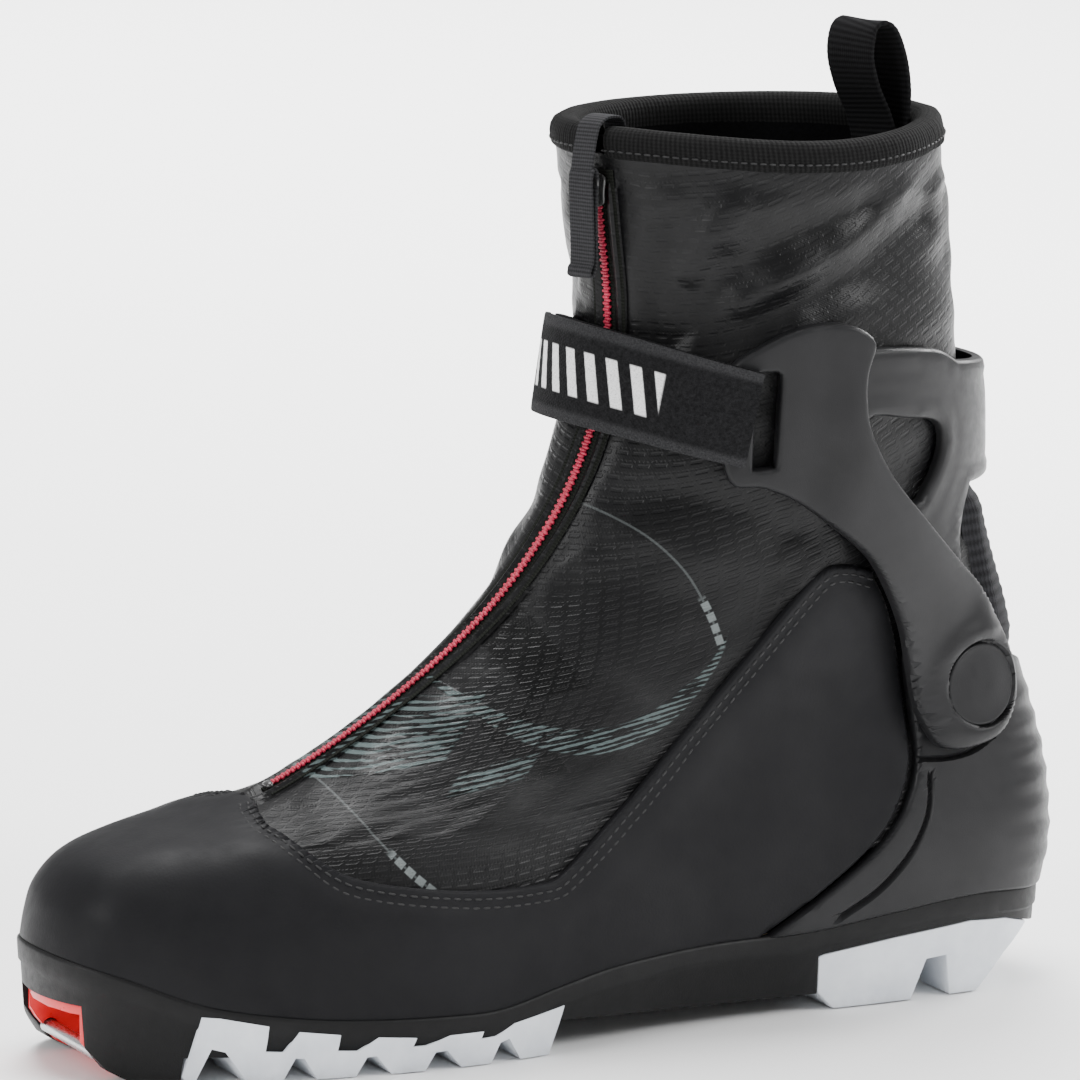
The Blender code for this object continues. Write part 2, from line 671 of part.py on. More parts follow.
def make_counter():
    front = [(x + COUNTER_SHIFT, z) for x, z in RAND_BACK[1:]]
    front = trace(rounded(front[1:], 9, closed=False), COUNTER[1])
    top = trace(COUNTER_TOP, COUNTER[1])
    top += across_back(top[-1], COUNTER_BACK_TOP, 3)
    reach = trace([(49, 26)], COUNTER[1])[0][0]
    bottom = [reach + (math.pi - reach) * k / 14 for k in range(15)]
    foot = [(theta, lip_level(theta)) for theta in bottom]
    half = list(reversed(foot[:-1])) + front[::-1] + top
    other = [(FULL_TURN - theta, level) for theta, level in reversed(half)]
    outline = [(math.pi, foot[-1][1])] + half + [(math.pi, COUNTER_BACK_TOP)] + other
    holes = []
    for side in (1, -1):
        hole = circle(6.1, ARM_GAP, side, sides=16)
        holes.append([(theta % FULL_TURN, level) for theta, level in hole])
    plate("heel_counter", outline, COUNTER, DARK_GREY, holes, theta_step=0.16, level_step=0.6, roughness=0.5)


def arm_layer(theta, level):
    gap = ARM_HEAD_GAP + (ARM_GAP - ARM_HEAD_GAP) * ease(wrapped(theta)[0], 1.45, 1.7)
    return gap, gap + ARM_THICKNESS


def make_arm(name, side, holes):
    outline = trace(rounded(ARM_OUTLINE, 7), ARM_GAP + 2, side)
    openings = [circle(6.7, ARM_GAP, side, sides=16)]
    openings += [trace(hole, ARM_HEAD_GAP + 2, side) for hole in holes]
    arm = plate(name, outline, arm_layer, DARK_GREY, openings, theta_step=0.15, level_step=0.6, roughness=0.5)
    floor = ARM_GAP + 1.9
    disc = plate(f"{name}_recess", circle(12.1, ARM_GAP, side, sides=24), (floor, floor + 6), DARK_GREY)
    hide(disc)
    boolean(arm, disc)


def make_pivot(prefix, side):
    post = circle(5.6, ARM_GAP, side, sides=16)
    plate(f"{prefix}_pivot_post", post, (1.1, 6.2), STEEL, theta_step=0.5, level_step=2, roughness=0.35)
    cap = circle(11.4, ARM_GAP, side, sides=24)
    base = ARM_GAP + 2.3
    plate(f"{prefix}_pivot_cap", cap, (base, base + 1.6), DARK_GREY, roughness=0.5)


def spoiler_layer(theta, level):
    back_gap = SPOILER_FOOT_GAP + (SPOILER_BACK_GAP - SPOILER_FOOT_GAP) * ease(level, 9.8, 11.6)
    gap = SPOILER_SIDE_GAP + (back_gap - SPOILER_SIDE_GAP) * ease(wrapped(theta)[0], 2.1, 2.9)
    return gap, gap + SPOILER_THICKNESS


def across_back(place, back_level, count=4):
    """Places from a place on the lateral side to just short of the back line, at back_level there."""
    theta, level = place
    steps = [k / count for k in range(1, count)]
    return [
        (theta + (math.pi - theta) * t, level + (back_level - level) * math.sin(t * math.pi / 2))
        for t in steps
    ]


def make_spoiler():
    height = SPOILER_SIDE_GAP + SPOILER_THICKNESS
    side_outline = SPOILER_FRONT[::-1] + SPOILER_HIDDEN[::-1] + SPOILER_SIDE
    half = trace(rounded(side_outline, 8, closed=False), height)
    half = across_back(half[0], SPOILER_BACK_LOW)[::-1] + half + across_back(half[-1], SPOILER_BACK_TOP)
    other = [(FULL_TURN - theta, level) for theta, level in reversed(half)]
    outline = half + [(math.pi, SPOILER_BACK_TOP)] + other + [(math.pi, SPOILER_BACK_LOW)]
    window = trace(rounded(WINDOW, 7), height)
    holes = [window, [(FULL_TURN - theta, level) for theta, level in window]]
    plate("rear_cuff_spoiler", outline, spoiler_layer, DARK_GREY, holes, 0.15, 0.6, 0.5)


def make_zip():
    strip("zip_tape_lower", 6.15, 8.6, 0.2, (0.1, 0.8), BLACK_TEXTILE, 6)
    strip("zip_coil_lower", 6.25, 8.6, 0.045, (1.1, 2.4), ZIP_RED, 6, 3)
    strip("zip_ankle_section", 8.9, 10.9, 0.045, (1.1, 2.4), ZIP_RED, 6, 3)
    strip("zip_tape_upper", 11.25, 14.7, 0.2, (0.1, 0.8), BLACK_TEXTILE, 6)
    strip("zip_coil_upper", 11.25, 14.7, 0.045, (1.1, 2.4), ZIP_RED, 6, 3)


def slider_level():
    return locate(SLIDER_X + 2, SLIDER_Z)[1]


def slider_point(height):
    level = slider_level()
    return skin(zip_theta(level), level, height)


def make_slider():
    level = slider_level()
    half, reach = 0.095, 0.24
    middle = zip_theta(level)
    places = [(middle + half * s, level + reach * t) for s in (1, 0, -1) for t in (-1, 0, 1)]
    thicken("zip_slider", places, grid(3, 3), (2.8, 5.0), ZIP_RED)
    outward = (slider_point(5) - slider_point(0)).normalized()
    across = Vector((-outward.y, outward.x, 0))
    start = slider_point(6.4) + Vector((0, 0, 3))
    puller = ribbon("zip_puller", [start, start - Vector((0, 0, 8))], across, 6, 1.4, STEEL, 0.3)
    top = start - Vector((0, 0, 8.4))
    tab_path = [top, top - Vector((0.6, 0, 8)), top - Vector((0.9, 0, 17))]
    tab = ribbon("zip_pull_tab", tab_path, across, 9, 1.5, BLACK_TEXTILE)
    for obj in (puller, tab):
        make_origin(obj, start)


def strap_height(theta):
    rise = ease(wrapped(theta)[0], 0.5, 0.98)
    return STRAP_FRONT_HEIGHT + (STRAP_SIDE_HEIGHT - STRAP_FRONT_HEIGHT) * rise


def strap_level(theta):
    return 11.99 - 0.706 * (1 - math.cos(theta))


def strap_piece(name, start, end, lift, thickness, columns, half, colour):
    places = []
    for i in range(columns):
        theta = start + (end - start) * i / (columns - 1)
        places += [(theta, strap_level(theta) + half * t) for t in (-1, 0, 1)]

    def layer(at, _):
        base = strap_height(at) + lift
        return base, base + thickness

    return thicken(name, places, grid(columns, 3), layer, colour, 0.9)


def make_strap():
    half = STRAP_HALF_WIDTH
    strap_piece("strap_base", STRAP_SLOT_ANGLE, STRAP_MEDIAL_ANGLE, 0.0, 1.5, 22, half, BLACK_TEXTILE)
    strap_piece("strap_hook_patch", 0.35, -0.35, 1.8, 0.6, 7, 0.5, CHARCOAL)
    flap = strap_piece("strap_flap", STRAP_SLOT_ANGLE, -0.45, 2.7, 1.6, 15, half, CHARCOAL)
    make_origin(flap, strap_hinge())
    head = circle(4.2, STRAP_SIDE_HEIGHT, -1, *RIVET_PLACE, sides=12)
    plate("strap_rivet", head, (9.1, 10.6), STEEL, theta_step=0.5, level_step=2, roughness=0.35)


def strap_hinge():
    angle = STRAP_SLOT_ANGLE + 0.04
    return skin(angle, strap_level(angle), STRAP_SIDE_HEIGHT + 2.0)


def make_pull_loop():
    path = [Vector((x, -3, z)) for x, z in rounded(LOOP_ROUTE, 5, closed=False)]
    ribbon("heel_pull_loop", path, (-0.25, 1, 0), 18, 1.6, BLACK_TEXTILE)


def main():
    clear_scene()
    make_chassis()
    make_forefoot_tread()
    make_heel_tread()
    make_toe_insert()
    make_toe_bar()
    make_boards()
    make_upper()
    make_rand()
    make_counter()
    for prefix, side, holes in (("lateral", 1, [STRAP_SLOT]), ("medial", -1, [])):
        make_arm(f"{prefix}_cuff_arm", side, holes)
        make_pivot(prefix, side)
    make_spoiler()
    make_zip()
    make_slider()
    make_strap()
    make_pull_loop()


main()
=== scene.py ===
"""Looks of a cross-country skating boot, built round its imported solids. Lengths are in mm until a mesh is made.

Every layer of the upper is laid on one smooth surface, the skin. A place on the skin is (theta, level):
theta is 0 on the front centre line, pi on the back, positive on the lateral side, and level counts
stations from the feather line above the sole (0) to the collar rim (15).
"""

import math

import bmesh
import bpy
import numpy as np
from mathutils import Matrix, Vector
from mathutils.geometry import delaunay_2d_cdt
from mathutils.kdtree import KDTree


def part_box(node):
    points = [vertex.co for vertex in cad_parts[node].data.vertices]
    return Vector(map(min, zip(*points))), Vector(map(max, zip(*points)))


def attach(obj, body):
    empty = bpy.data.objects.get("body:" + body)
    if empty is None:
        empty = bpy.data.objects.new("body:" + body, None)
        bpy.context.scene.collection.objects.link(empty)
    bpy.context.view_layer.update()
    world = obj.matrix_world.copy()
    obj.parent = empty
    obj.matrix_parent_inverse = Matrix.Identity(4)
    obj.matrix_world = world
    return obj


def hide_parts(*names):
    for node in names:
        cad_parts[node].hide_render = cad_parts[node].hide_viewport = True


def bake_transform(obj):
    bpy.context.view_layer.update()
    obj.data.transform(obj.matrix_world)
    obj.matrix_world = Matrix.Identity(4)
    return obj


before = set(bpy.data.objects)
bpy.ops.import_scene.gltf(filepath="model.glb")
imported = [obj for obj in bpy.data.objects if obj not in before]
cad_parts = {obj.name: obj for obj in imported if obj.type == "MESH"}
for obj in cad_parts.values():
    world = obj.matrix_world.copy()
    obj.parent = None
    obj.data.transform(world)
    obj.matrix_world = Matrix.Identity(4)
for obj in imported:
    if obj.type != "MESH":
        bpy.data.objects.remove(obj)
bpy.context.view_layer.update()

MM = 0.001
FULL_TURN = 2 * math.pi

# Stations of the skin: front x, z, back x, z, half width, roundness of the plan, share of the sole's dip
STATIONS = (
    (-148.5, 32, 144.5, 27, 47.5, 0.00, 1.00),
    (-147.0, 40, 147.0, 40, 48.0, 0.00, 0.80),
    (-144.5, 47.5, 147.0, 52, 47.0, 0.05, 0.55),
    (-138.5, 54, 146.0, 62, 44.5, 0.15, 0.32),
    (-128.5, 58.0, 144.0, 71, 42.0, 0.30, 0.16),
    (-110.0, 61.5, 141.0, 82, 39.5, 0.45, 0.06),
    (-87.0, 67.5, 138.0, 93, 37.5, 0.62, 0.00),
    (-61.5, 80.5, 135.5, 104, 36.5, 0.78, 0.00),
    (-37.5, 97.5, 132.0, 115, 36.5, 0.90, 0.00),
    (-20.0, 114.8, 128.5, 127, 37.0, 1.00, 0.00),
    (-6.5, 135, 125.5, 140, 38.0, 1.00, 0.00),
    (3.5, 156.5, 123.0, 155, 39.5, 1.00, 0.00),
    (9.5, 176, 121.0, 172, 41.0, 1.00, 0.00),
    (10.0, 196, 119.0, 192, 42.0, 1.00, 0.00),
    (8.0, 216, 117.0, 215, 42.5, 1.00, 0.00),
    (5.5, 238, 115.0, 238, 43.5, 1.00, 0.00),
)
TOP_LEVEL = len(STATIONS) - 1

# Half width of a foot as a share of its widest, against the share of its length from the toe
FOOT_OUTLINE = (
    (0.0, 0.0), (0.017, 0.41), (0.05, 0.59), (0.10, 0.74), (0.17, 0.87), (0.24, 0.95), (0.32, 1.0),
    (0.40, 0.985), (0.50, 0.88), (0.60, 0.77), (0.70, 0.73), (0.82, 0.735), (0.91, 0.69), (0.96, 0.56),
    (0.99, 0.30), (1.0, 0.0),
)
# Top edge of the sole's lip, x and z
LIP_LINE = (
    (-152, 33.5), (-136, 28.5), (-118, 21.5), (-100, 18), (-80, 15.8), (-52, 14.7), (-38, 14.9), (-20, 18.5),
    (0, 21.6), (30, 23), (62, 23.2), (86, 26), (114, 28.5), (135, 27), (150, 26),
)
TOE_LEAN = 3.0
TOE_LEAN_START = -40.0
FLOOR_DEPTH = 5.6
SKIN_FOOT = 4.0
FOOTBED = (3.7, 8.2)
LIP_INNER = 0.6
LIP_OUTER = 2.6
PIVOT = (113.8, 86.0)
ARM_GAP = 6.0
ARM_HEAD_GAP = 3.2
ARM_THICKNESS = 3.6
SPOILER_SIDE_GAP = 2.0
SPOILER_BACK_GAP = 4.6
SPOILER_FOOT_GAP = 2.8
SPOILER_THICKNESS = 2.7
ZIP_LEAN = 0.29
ZIP_END_LEVEL = 6.0
RIM_RISE = 0.18
STRAP_HALF_WIDTH = 0.68
STRAP_SLOT_ANGLE = 1.15
STRAP_MEDIAL_ANGLE = -1.33
STRAP_FRONT_HEIGHT = 3.9
STRAP_SIDE_HEIGHT = 7.3

# Side outlines, x and z
TOE_CUT = ((-170, -5), (-170, 19), (-150.5, 19), (-145, 10), (-139.5, 3), (-134, 0), (-134, -5))
UNDERSIDE = (
    (-123.5, -5), (-122.5, 7), (-60, 7), (-38, 7.2), (-30, 8), (-20, 9), (2, 7.4), (28, 5.8), (64.2, 4.8),
    (64.2, 15.5), (66, 16), (88, 18.6), (112, 20.6), (124.5, 19.6), (133.5, 17), (165, 8), (165, -5),
)
HEEL_BLOCK = (
    (64.5, 5.2), (69.6, 0), (93.6, 0), (98.2, 11), (104.5, 11.5), (106, 0), (115, 0), (124.7, 9.4), (134, 16.2),
    (133.5, 16.7), (124.5, 19.3), (112, 20.3), (88, 18.3), (66, 15.7), (64.5, 15.2),
)
FOREFOOT_SIDE = (
    (-122.6, 2.0), (-118.6, 18.4), (-114.1, 18.0), (-101.9, 15.4), (-102.6, 8.4), (-98, 8.1), (-94, 13.5),
    (-83.2, 12.0), (-83.9, 7.6), (-78.5, 7.2), (-72.9, 10.6), (-62.5, 9.6), (-63.5, 7.2), (-59.7, 7.2), (-53, 9.4),
    (-43.3, 9.4), (-44.1, 7.4), (-39.6, 7.6), (-34, 10.5), (-18.3, 13.2), (-19.6, 8.5), (-22.4, 0.0),
    (-31.2, 0.0), (-35.4, 6.4), (-38.0, 5.6), (-40.3, 0.0), (-49.0, 0.0), (-53.6, 5.2), (-56.9, 5.0), (-59.4, 0.0),
    (-68.6, 0.0), (-73.2, 5.4), (-75.8, 5.2), (-78.4, 0.0), (-88.6, 0.0), (-92.4, 6.0), (-94.8, 6.2), (-97.6, 0.0),
    (-106.6, 0.0), (-112.4, 8.6), (-116.0, 9.6), (-119.8, 0.0), (-121.4, 0.0),
)
SEAM = (
    (-91, 64), (-77, 53), (-48, 47.6), (-25, 47), (-16, 49.7), (8, 68), (26, 85), (44, 103), (62, 121),
    (71, 123.4), (80, 121),
)
RAND_BACK = (
    (80, 121), (87, 108), (91, 95), (93.4, 77), (93.4, 66), (90.3, 57.5), (85.2, 49.6), (76, 41), (61.5, 31),
)
COUNTER_SHIFT = 2.2
COUNTER_TOP = ((96, 98), (112, 98.5), (124, 94.5))
COUNTER_BACK_TOP = 5.35
ARM_OUTLINE = (
    (96.7, 75.1), (93.2, 82.3), (90.7, 93.3), (88.2, 103.5), (83.2, 113.9), (75.6, 125.2), (64.8, 134.4),
    (52.8, 142.8), (42.5, 147.3), (33.5, 149.3), (30.8, 165), (32.5, 179), (41, 185.6), (51, 190), (61, 191.3),
    (68.2, 190), (73.2, 185.5), (71.4, 178), (71.2, 170.5), (73.2, 161.3), (80.8, 148.7), (92.2, 136.6),
    (106.6, 122.5), (116.5, 113), (122.3, 104), (127, 95), (128.6, 87), (126.8, 78.6), (120.5, 72), (109, 69.6),
    (100.5, 71),
)
STRAP_SLOT = ((40.3, 152.6), (46.4, 153), (47.2, 178.8), (41.2, 178.8))
SPOILER_SIDE = ((69, 182), (76, 183.2), (83.5, 182.7), (92, 181.8), (100, 180.3), (107, 176.5))
SPOILER_FRONT = ((112, 117), (111, 125), (112, 133), (115, 141))
SPOILER_HIDDEN = ((68.2, 174), (69, 162), (75, 149), (86, 136), (97, 125), (104, 115))
SPOILER_BACK_LOW = 10.0
SPOILER_BACK_TOP = 12.05
WINDOW = (
    (74.5, 164), (88, 162.8), (98, 161), (101.8, 157.5), (102, 152.5), (99.5, 146.5), (96, 141.5), (92.5, 138.5),
    (85, 145), (77, 153),
)
LOOP_ROUTE = (
    (98, 224), (97.8, 233), (95.6, 241), (92, 249), (90, 257), (90.9, 263.8), (94, 266), (97.4, 264),
    (100.2, 257), (101.5, 249), (101.4, 241), (100.9, 227),
)


# ---------------------------------------------------------------- the skin

def curve(points):
    """Smooth function through points, (x, value) in rising x, for arrays; straight past the ends."""
    xs, ys = (np.array(column, float) for column in zip(*points))
    last = len(xs) - 1
    before = np.maximum(np.arange(last + 1) - 1, 0)
    after = np.minimum(np.arange(last + 1) + 1, last)
    slopes = (ys[after] - ys[before]) / (xs[after] - xs[before])

    def value(x):
        x = np.asarray(x, float)
        i = np.clip(np.searchsorted(xs, x, side="right") - 1, 0, last - 1)
        h = xs[i + 1] - xs[i]
        raw = (x - xs[i]) / h
        t = np.clip(raw, 0, 1)
        rise = ys[i] * (2 * t**3 - 3 * t**2 + 1) + ys[i + 1] * (3 * t**2 - 2 * t**3)
        bend = h * (slopes[i] * (t**3 - 2 * t**2 + t) + slopes[i + 1] * (t**3 - t**2))
        return rise + bend + h * (raw - t) * np.where(raw < 0, slopes[i], slopes[i + 1])

    return value


def ease(value, low, high):
    t = np.clip((np.asarray(value, float) - low) / (high - low), 0, 1)
    return t * t * (3 - 2 * t)


COLUMNS = [curve([(level, row[k]) for level, row in enumerate(STATIONS)]) for k in range(7)]
PLAN = curve([(math.acos(1 - 2 * share), width) for share, width in FOOT_OUTLINE])
LIP = curve(LIP_LINE)


def side_angle(theta):
    """Angle from 0 to pi away from the front."""
    return np.abs(np.remainder(np.asarray(theta, float) + math.pi, FULL_TURN) - math.pi)


def bare_skin(theta, level):
    theta, level = np.broadcast_arrays(np.asarray(theta, float), np.asarray(level, float))
    fx, fz, bx, bz, half, roundness, dip = (column(level) for column in COLUMNS)
    turn = np.remainder(theta + math.pi, FULL_TURN) - math.pi
    angle, side = np.abs(turn), np.where(turn >= 0, 1.0, -1.0)
    share = (1 - np.cos(angle)) / 2
    x = fx + share * (bx - fx)
    flat_z = STATIONS[0][1] + (x - STATIONS[0][0]) * (STATIONS[0][3] - STATIONS[0][1]) / 293
    z = fz + share * (bz - fz) + dip * (LIP(x) - FLOOR_DEPTH + SKIN_FOOT - flat_z)
    plan = (1 - roundness) * PLAN(angle) + roundness * np.sin(angle)
    lean = TOE_LEAN * np.maximum(0.0, (TOE_LEAN_START - x) / 108) ** 2
    return np.stack([x, lean - side * half * plan, z], -1)


def unit(v):
    return v / np.maximum(np.linalg.norm(v, axis=-1, keepdims=True), 1e-9)


def directions(theta, level):
    """How far the skin runs for a unit of theta and of level, and its outward normal."""
    step = 0.02
    around = (bare_skin(theta + step, level) - bare_skin(theta - step, level)) / (2 * step)
    up = (bare_skin(theta, level + step) - bare_skin(theta, level - step)) / (2 * step)
    return around, up, unit(np.cross(around, up))


def skin(theta, level, height=0.0):
    """Points of the skin, raised by height along its normal."""
    theta, level, height = np.broadcast_arrays(*(np.asarray(a, float) for a in (theta, level, height)))
    return bare_skin(theta, level) + directions(theta, level)[2] * height[..., None]


def locate(points, height=0.0, side=1):
    """Places on the skin, whose raised points are seen from the side at points (x, z)."""
    target = np.array(points, float).reshape(-1, 2)
    aim = target.copy()
    for _ in range(5):
        low = np.full(len(aim), -0.5)
        high = np.full(len(aim), TOP_LEVEL + 0.5)
        for _ in range(34):
            level = (low + high) / 2
            fx, bx = COLUMNS[0](level), COLUMNS[2](level)
            theta = np.arccos(1 - 2 * np.clip((aim[:, 0] - fx) / (bx - fx), 0, 1))
            below = bare_skin(theta, level)[:, 2] < aim[:, 1]
            low, high = np.where(below, level, low), np.where(below, high, level)
        aim += target - skin(theta, level, height)[:, (0, 2)]
    return np.stack([side * theta, level], -1)


def rounded(points, step=2.5, closed=True):
    """Points about a step apart on a smooth curve through points."""
    points = np.array(points, float)
    count = len(points)
    out = []
    for i in range(count if closed else count - 1):
        wanted = [i - 1, i, i + 1, i + 2]
        a, b, c, d = (points[k % count if closed else max(0, min(count - 1, k))] for k in wanted)
        parts = max(1, round(float(np.linalg.norm(c - b)) / step))
        for k in range(parts):
            t = k / parts
            out.append((2 * b + (c - a) * t + (2 * a - 5 * b + 4 * c - d) * t**2 + (3 * b - a - 3 * c + d) * t**3) / 2)
    return np.array(out if closed else out + [points[-1]])


def even(path, step, closed=False):
    """Points of a polyline moved to equal distances along it, about a step apart."""
    path = np.array(path, float)
    if closed:
        path = np.vstack([path, path[:1]])
    far = np.concatenate([[0], np.cumsum(np.linalg.norm(np.diff(path, axis=0), axis=1))])
    count = max(3, round(far[-1] / step) + 1)
    at = np.linspace(0, far[-1], count)
    out = np.stack([np.interp(at, far, column) for column in path.T], -1)
    return out[:-1] if closed else out


def circle(radius, height, side=1, centre=PIVOT, sides=72):
    turns = np.arange(sides) * FULL_TURN / sides
    points = np.stack([centre[0] + radius * np.cos(turns), centre[1] + radius * np.sin(turns)], -1)
    return locate(points, height, side)


def zip_theta(level):
    return ZIP_LEAN * ease(level, 6.5, 11.0)


def zip_line(low, high, step=0.05):
    levels = np.arange(low, high, step)
    return np.stack([zip_theta(levels), levels], -1)


def rim_level(theta):
    """Level of the collar's rim, which dips on the lateral side."""
    turn = np.remainder(np.asarray(theta, float) + math.pi, FULL_TURN) - math.pi
    return 15.03 + RIM_RISE * (1 - np.exp(-(((turn - 1.4) / 0.8) ** 2)))


def distance_to(points, path, closed=False):
    """Distance of each point from a polyline, all in mm."""
    path = np.vstack([path, path[:1]]) if closed else path
    best = np.full(len(points), 1e9)
    for a, b in zip(path[:-1], path[1:]):
        along = b - a
        t = np.clip((points - a) @ along / max(along @ along, 1e-12), 0, 1)
        best = np.minimum(best, ((points - a - t[:, None] * along) ** 2).sum(1))
    return np.sqrt(best)


def offset(places, distance, closed=True):
    """Places moved sideways along the skin by distance, to the left of the way they run."""
    if closed:
        ahead = np.roll(places, -1, 0) - np.roll(places, 1, 0)
    else:
        ahead = np.gradient(places, axis=0)
    around, up, normal = directions(places[:, 0], places[:, 1])
    way = unit(around * ahead[:, :1] + up * ahead[:, 1:])
    side = np.cross(normal, way)
    aa, ab, bb = (around**2).sum(1), (around * up).sum(1), (up**2).sum(1)
    pa, pb = (around * side).sum(1), (up * side).sum(1)
    share = np.stack([bb * pa - ab * pb, aa * pb - ab * pa], -1) / (aa * bb - ab**2)[:, None]
    return places + share * distance


def area_of(loop):
    x, y = loop.T
    return float((x * np.roll(y, -1) - y * np.roll(x, -1)).sum()) / 2


def inside(points, loop):
    """Which points lie inside a loop, both in the plane."""
    crossed = np.zeros(len(points), bool)
    x, y = points.T
    for (ax, ay), (bx, by) in zip(loop, np.roll(loop, -1, 0)):
        if ay == by:
            continue
        crossed ^= ((ay > y) != (by > y)) & (x < ax + (y - ay) * (bx - ax) / (by - ay))
    return crossed


# ---------------------------------------------------------------- meshes

def new_object(name, points, faces, look, sharp=40, outward=True):
    """Object from points in mm and faces; look is its material."""
    mesh = bpy.data.meshes.new(name)
    mesh.from_pydata(np.asarray(points, float) * MM, [], [tuple(int(k) for k in f) for f in faces])
    if outward:
        work = bmesh.new()
        work.from_mesh(mesh)
        bmesh.ops.recalc_face_normals(work, faces=work.faces)
        if work.calc_volume(signed=True) < 0:
            bmesh.ops.reverse_faces(work, faces=work.faces)
        work.to_mesh(mesh)
        work.free()
    mesh.shade_smooth()
    mesh.set_sharp_from_angle(angle=math.radians(sharp))
    mesh.materials.append(look)
    obj = bpy.data.objects.new(name, mesh)
    bpy.context.scene.collection.objects.link(obj)
    return obj


def set_uv(obj, per_point):
    """UV map in mm from one pair of numbers for each point."""
    layer = obj.data.uv_layers.new(name="plan")
    corners = np.empty(len(obj.data.loops), np.int32)
    obj.data.loops.foreach_get("vertex_index", corners)
    layer.data.foreach_set("uv", np.asarray(per_point, np.float32)[corners].ravel())


def grid_faces(columns, rows, closed=False):
    i = np.arange(columns if closed else columns - 1)[:, None] * rows
    j = np.arange(rows - 1)[None, :]
    n = ((np.arange(columns if closed else columns - 1)[:, None] + 1) % columns) * rows
    return np.stack([i + j, n + j, n + j + 1, i + j + 1], -1).reshape(-1, 4)


def boundary(faces):
    """Directed edges that only one face has."""
    seen = set()
    for face in faces:
        seen.update(zip(face, np.roll(face, -1)))
    return [(a, b) for a, b in seen if (b, a) not in seen]


def two_sided(name, outer, inner, faces, look, sharp=40):
    """Closed solid between two sheets that share their faces."""
    faces = [tuple(int(k) for k in f) for f in faces]
    count = len(outer)
    walls = [(b, a, a + count, b + count) for a, b in boundary(faces)]
    solid = faces + [tuple(k + count for k in reversed(f)) for f in faces] + walls
    return new_object(name, np.vstack([outer, inner]), solid, look, sharp)


def constant(inner, outer):
    return lambda theta, level: (np.full(len(theta), float(inner)), np.full(len(theta), float(outer)))


def plate(name, outline, layer, look, holes=(), creases=(), edge=0.9, spacing=2.6, scale=(60, 16), relief=None):
    """Moulded or cut piece on the skin with rounded edges.

    layer(theta, level) gives its inner and outer heights. Each crease is (places, half width, depth), a channel
    where depth is positive and a ridge where it is negative. scale is mm for a unit of theta and of level.
    """
    loops = [np.array(outline)] + [np.array(hole) for hole in holes]
    loops = [loop if area_of(loop) > 0 else loop[::-1] for loop in loops]
    scale = np.array(scale, float)
    extra = []
    for k, loop in enumerate(loops):
        inward = 1 if k == 0 else -1
        extra += [offset(loop, inward * edge * share) for share in (0.12, 0.36, 0.68, 1.05)]
    for path, half, _ in creases:
        extra += [offset(path, half * share, closed=False) for share in (-1, -0.66, -0.33, 0, 0.33, 0.66, 1)]
    rows = [loop * scale for loop in loops]
    border = np.vstack(rows)
    edges, first = [], 0
    for row in rows:
        edges += [(first + k, first + (k + 1) % len(row)) for k in range(len(row))]
        first += len(row)

    def kept(points, margin=0.0):
        good = inside(points, rows[0])
        for row in rows[1:]:
            good &= ~inside(points, row)
        return good

    added = np.vstack(extra) * scale
    added = added[kept(added)]
    fixed = np.vstack([border, added])
    tree = KDTree(len(fixed))
    for k, p in enumerate(fixed):
        tree.insert((p[0], p[1], 0), k)
    tree.balance()
    low, high = rows[0].min(0), rows[0].max(0)
    across = np.arange(low[0], high[0], spacing)
    upward = np.arange(low[1], high[1], spacing)
    lattice = np.array([(x + (j % 2) * spacing / 2, y) for j, y in enumerate(upward) for x in across])
    lattice = lattice[kept(lattice)]
    lattice = [p for p in lattice if tree.find((p[0], p[1], 0))[2] > spacing * 0.55]
    points = [Vector(p) for p in np.vstack([fixed] + ([np.array(lattice)] if lattice else []))]
    verts, _, faces = delaunay_2d_cdt(points, edges, [], 0, 1e-5)[:3]
    verts = np.array([(v.x, v.y) for v in verts])
    faces = np.array([f for f in faces if len(f) == 3])
    faces = faces[kept(verts[faces].mean(1))]
    used, flat = np.unique(faces, return_inverse=True)
    faces = flat.reshape(-1, 3)
    places = verts[used] / scale
    theta, level = places.T
    inner, outer = layer(theta, level)
    base = skin(theta, level, outer)
    lifted = [skin(loop[:, 0], loop[:, 1], layer(*loop.T)[1]) for loop in loops]
    rim = np.min([distance_to(base, ring, True) for ring in lifted], axis=0)
    share = np.clip(1 - rim / edge, 0, 1)
    outer = outer - np.minimum(edge, (outer - inner) * 0.8) * (1 - np.sqrt(np.maximum(0, 1 - share**2)))
    for path, half, depth in creases:
        near = np.clip(distance_to(base, skin(path[:, 0], path[:, 1], layer(*path.T)[1])) / half, 0, 1)
        outer = outer - depth * (1 + np.cos(math.pi * near)) / 2
    if relief is not None:
        outer = outer + relief(base, theta, level, rim)
    return two_sided(name, skin(theta, level, outer), skin(theta, level, inner), faces, look)


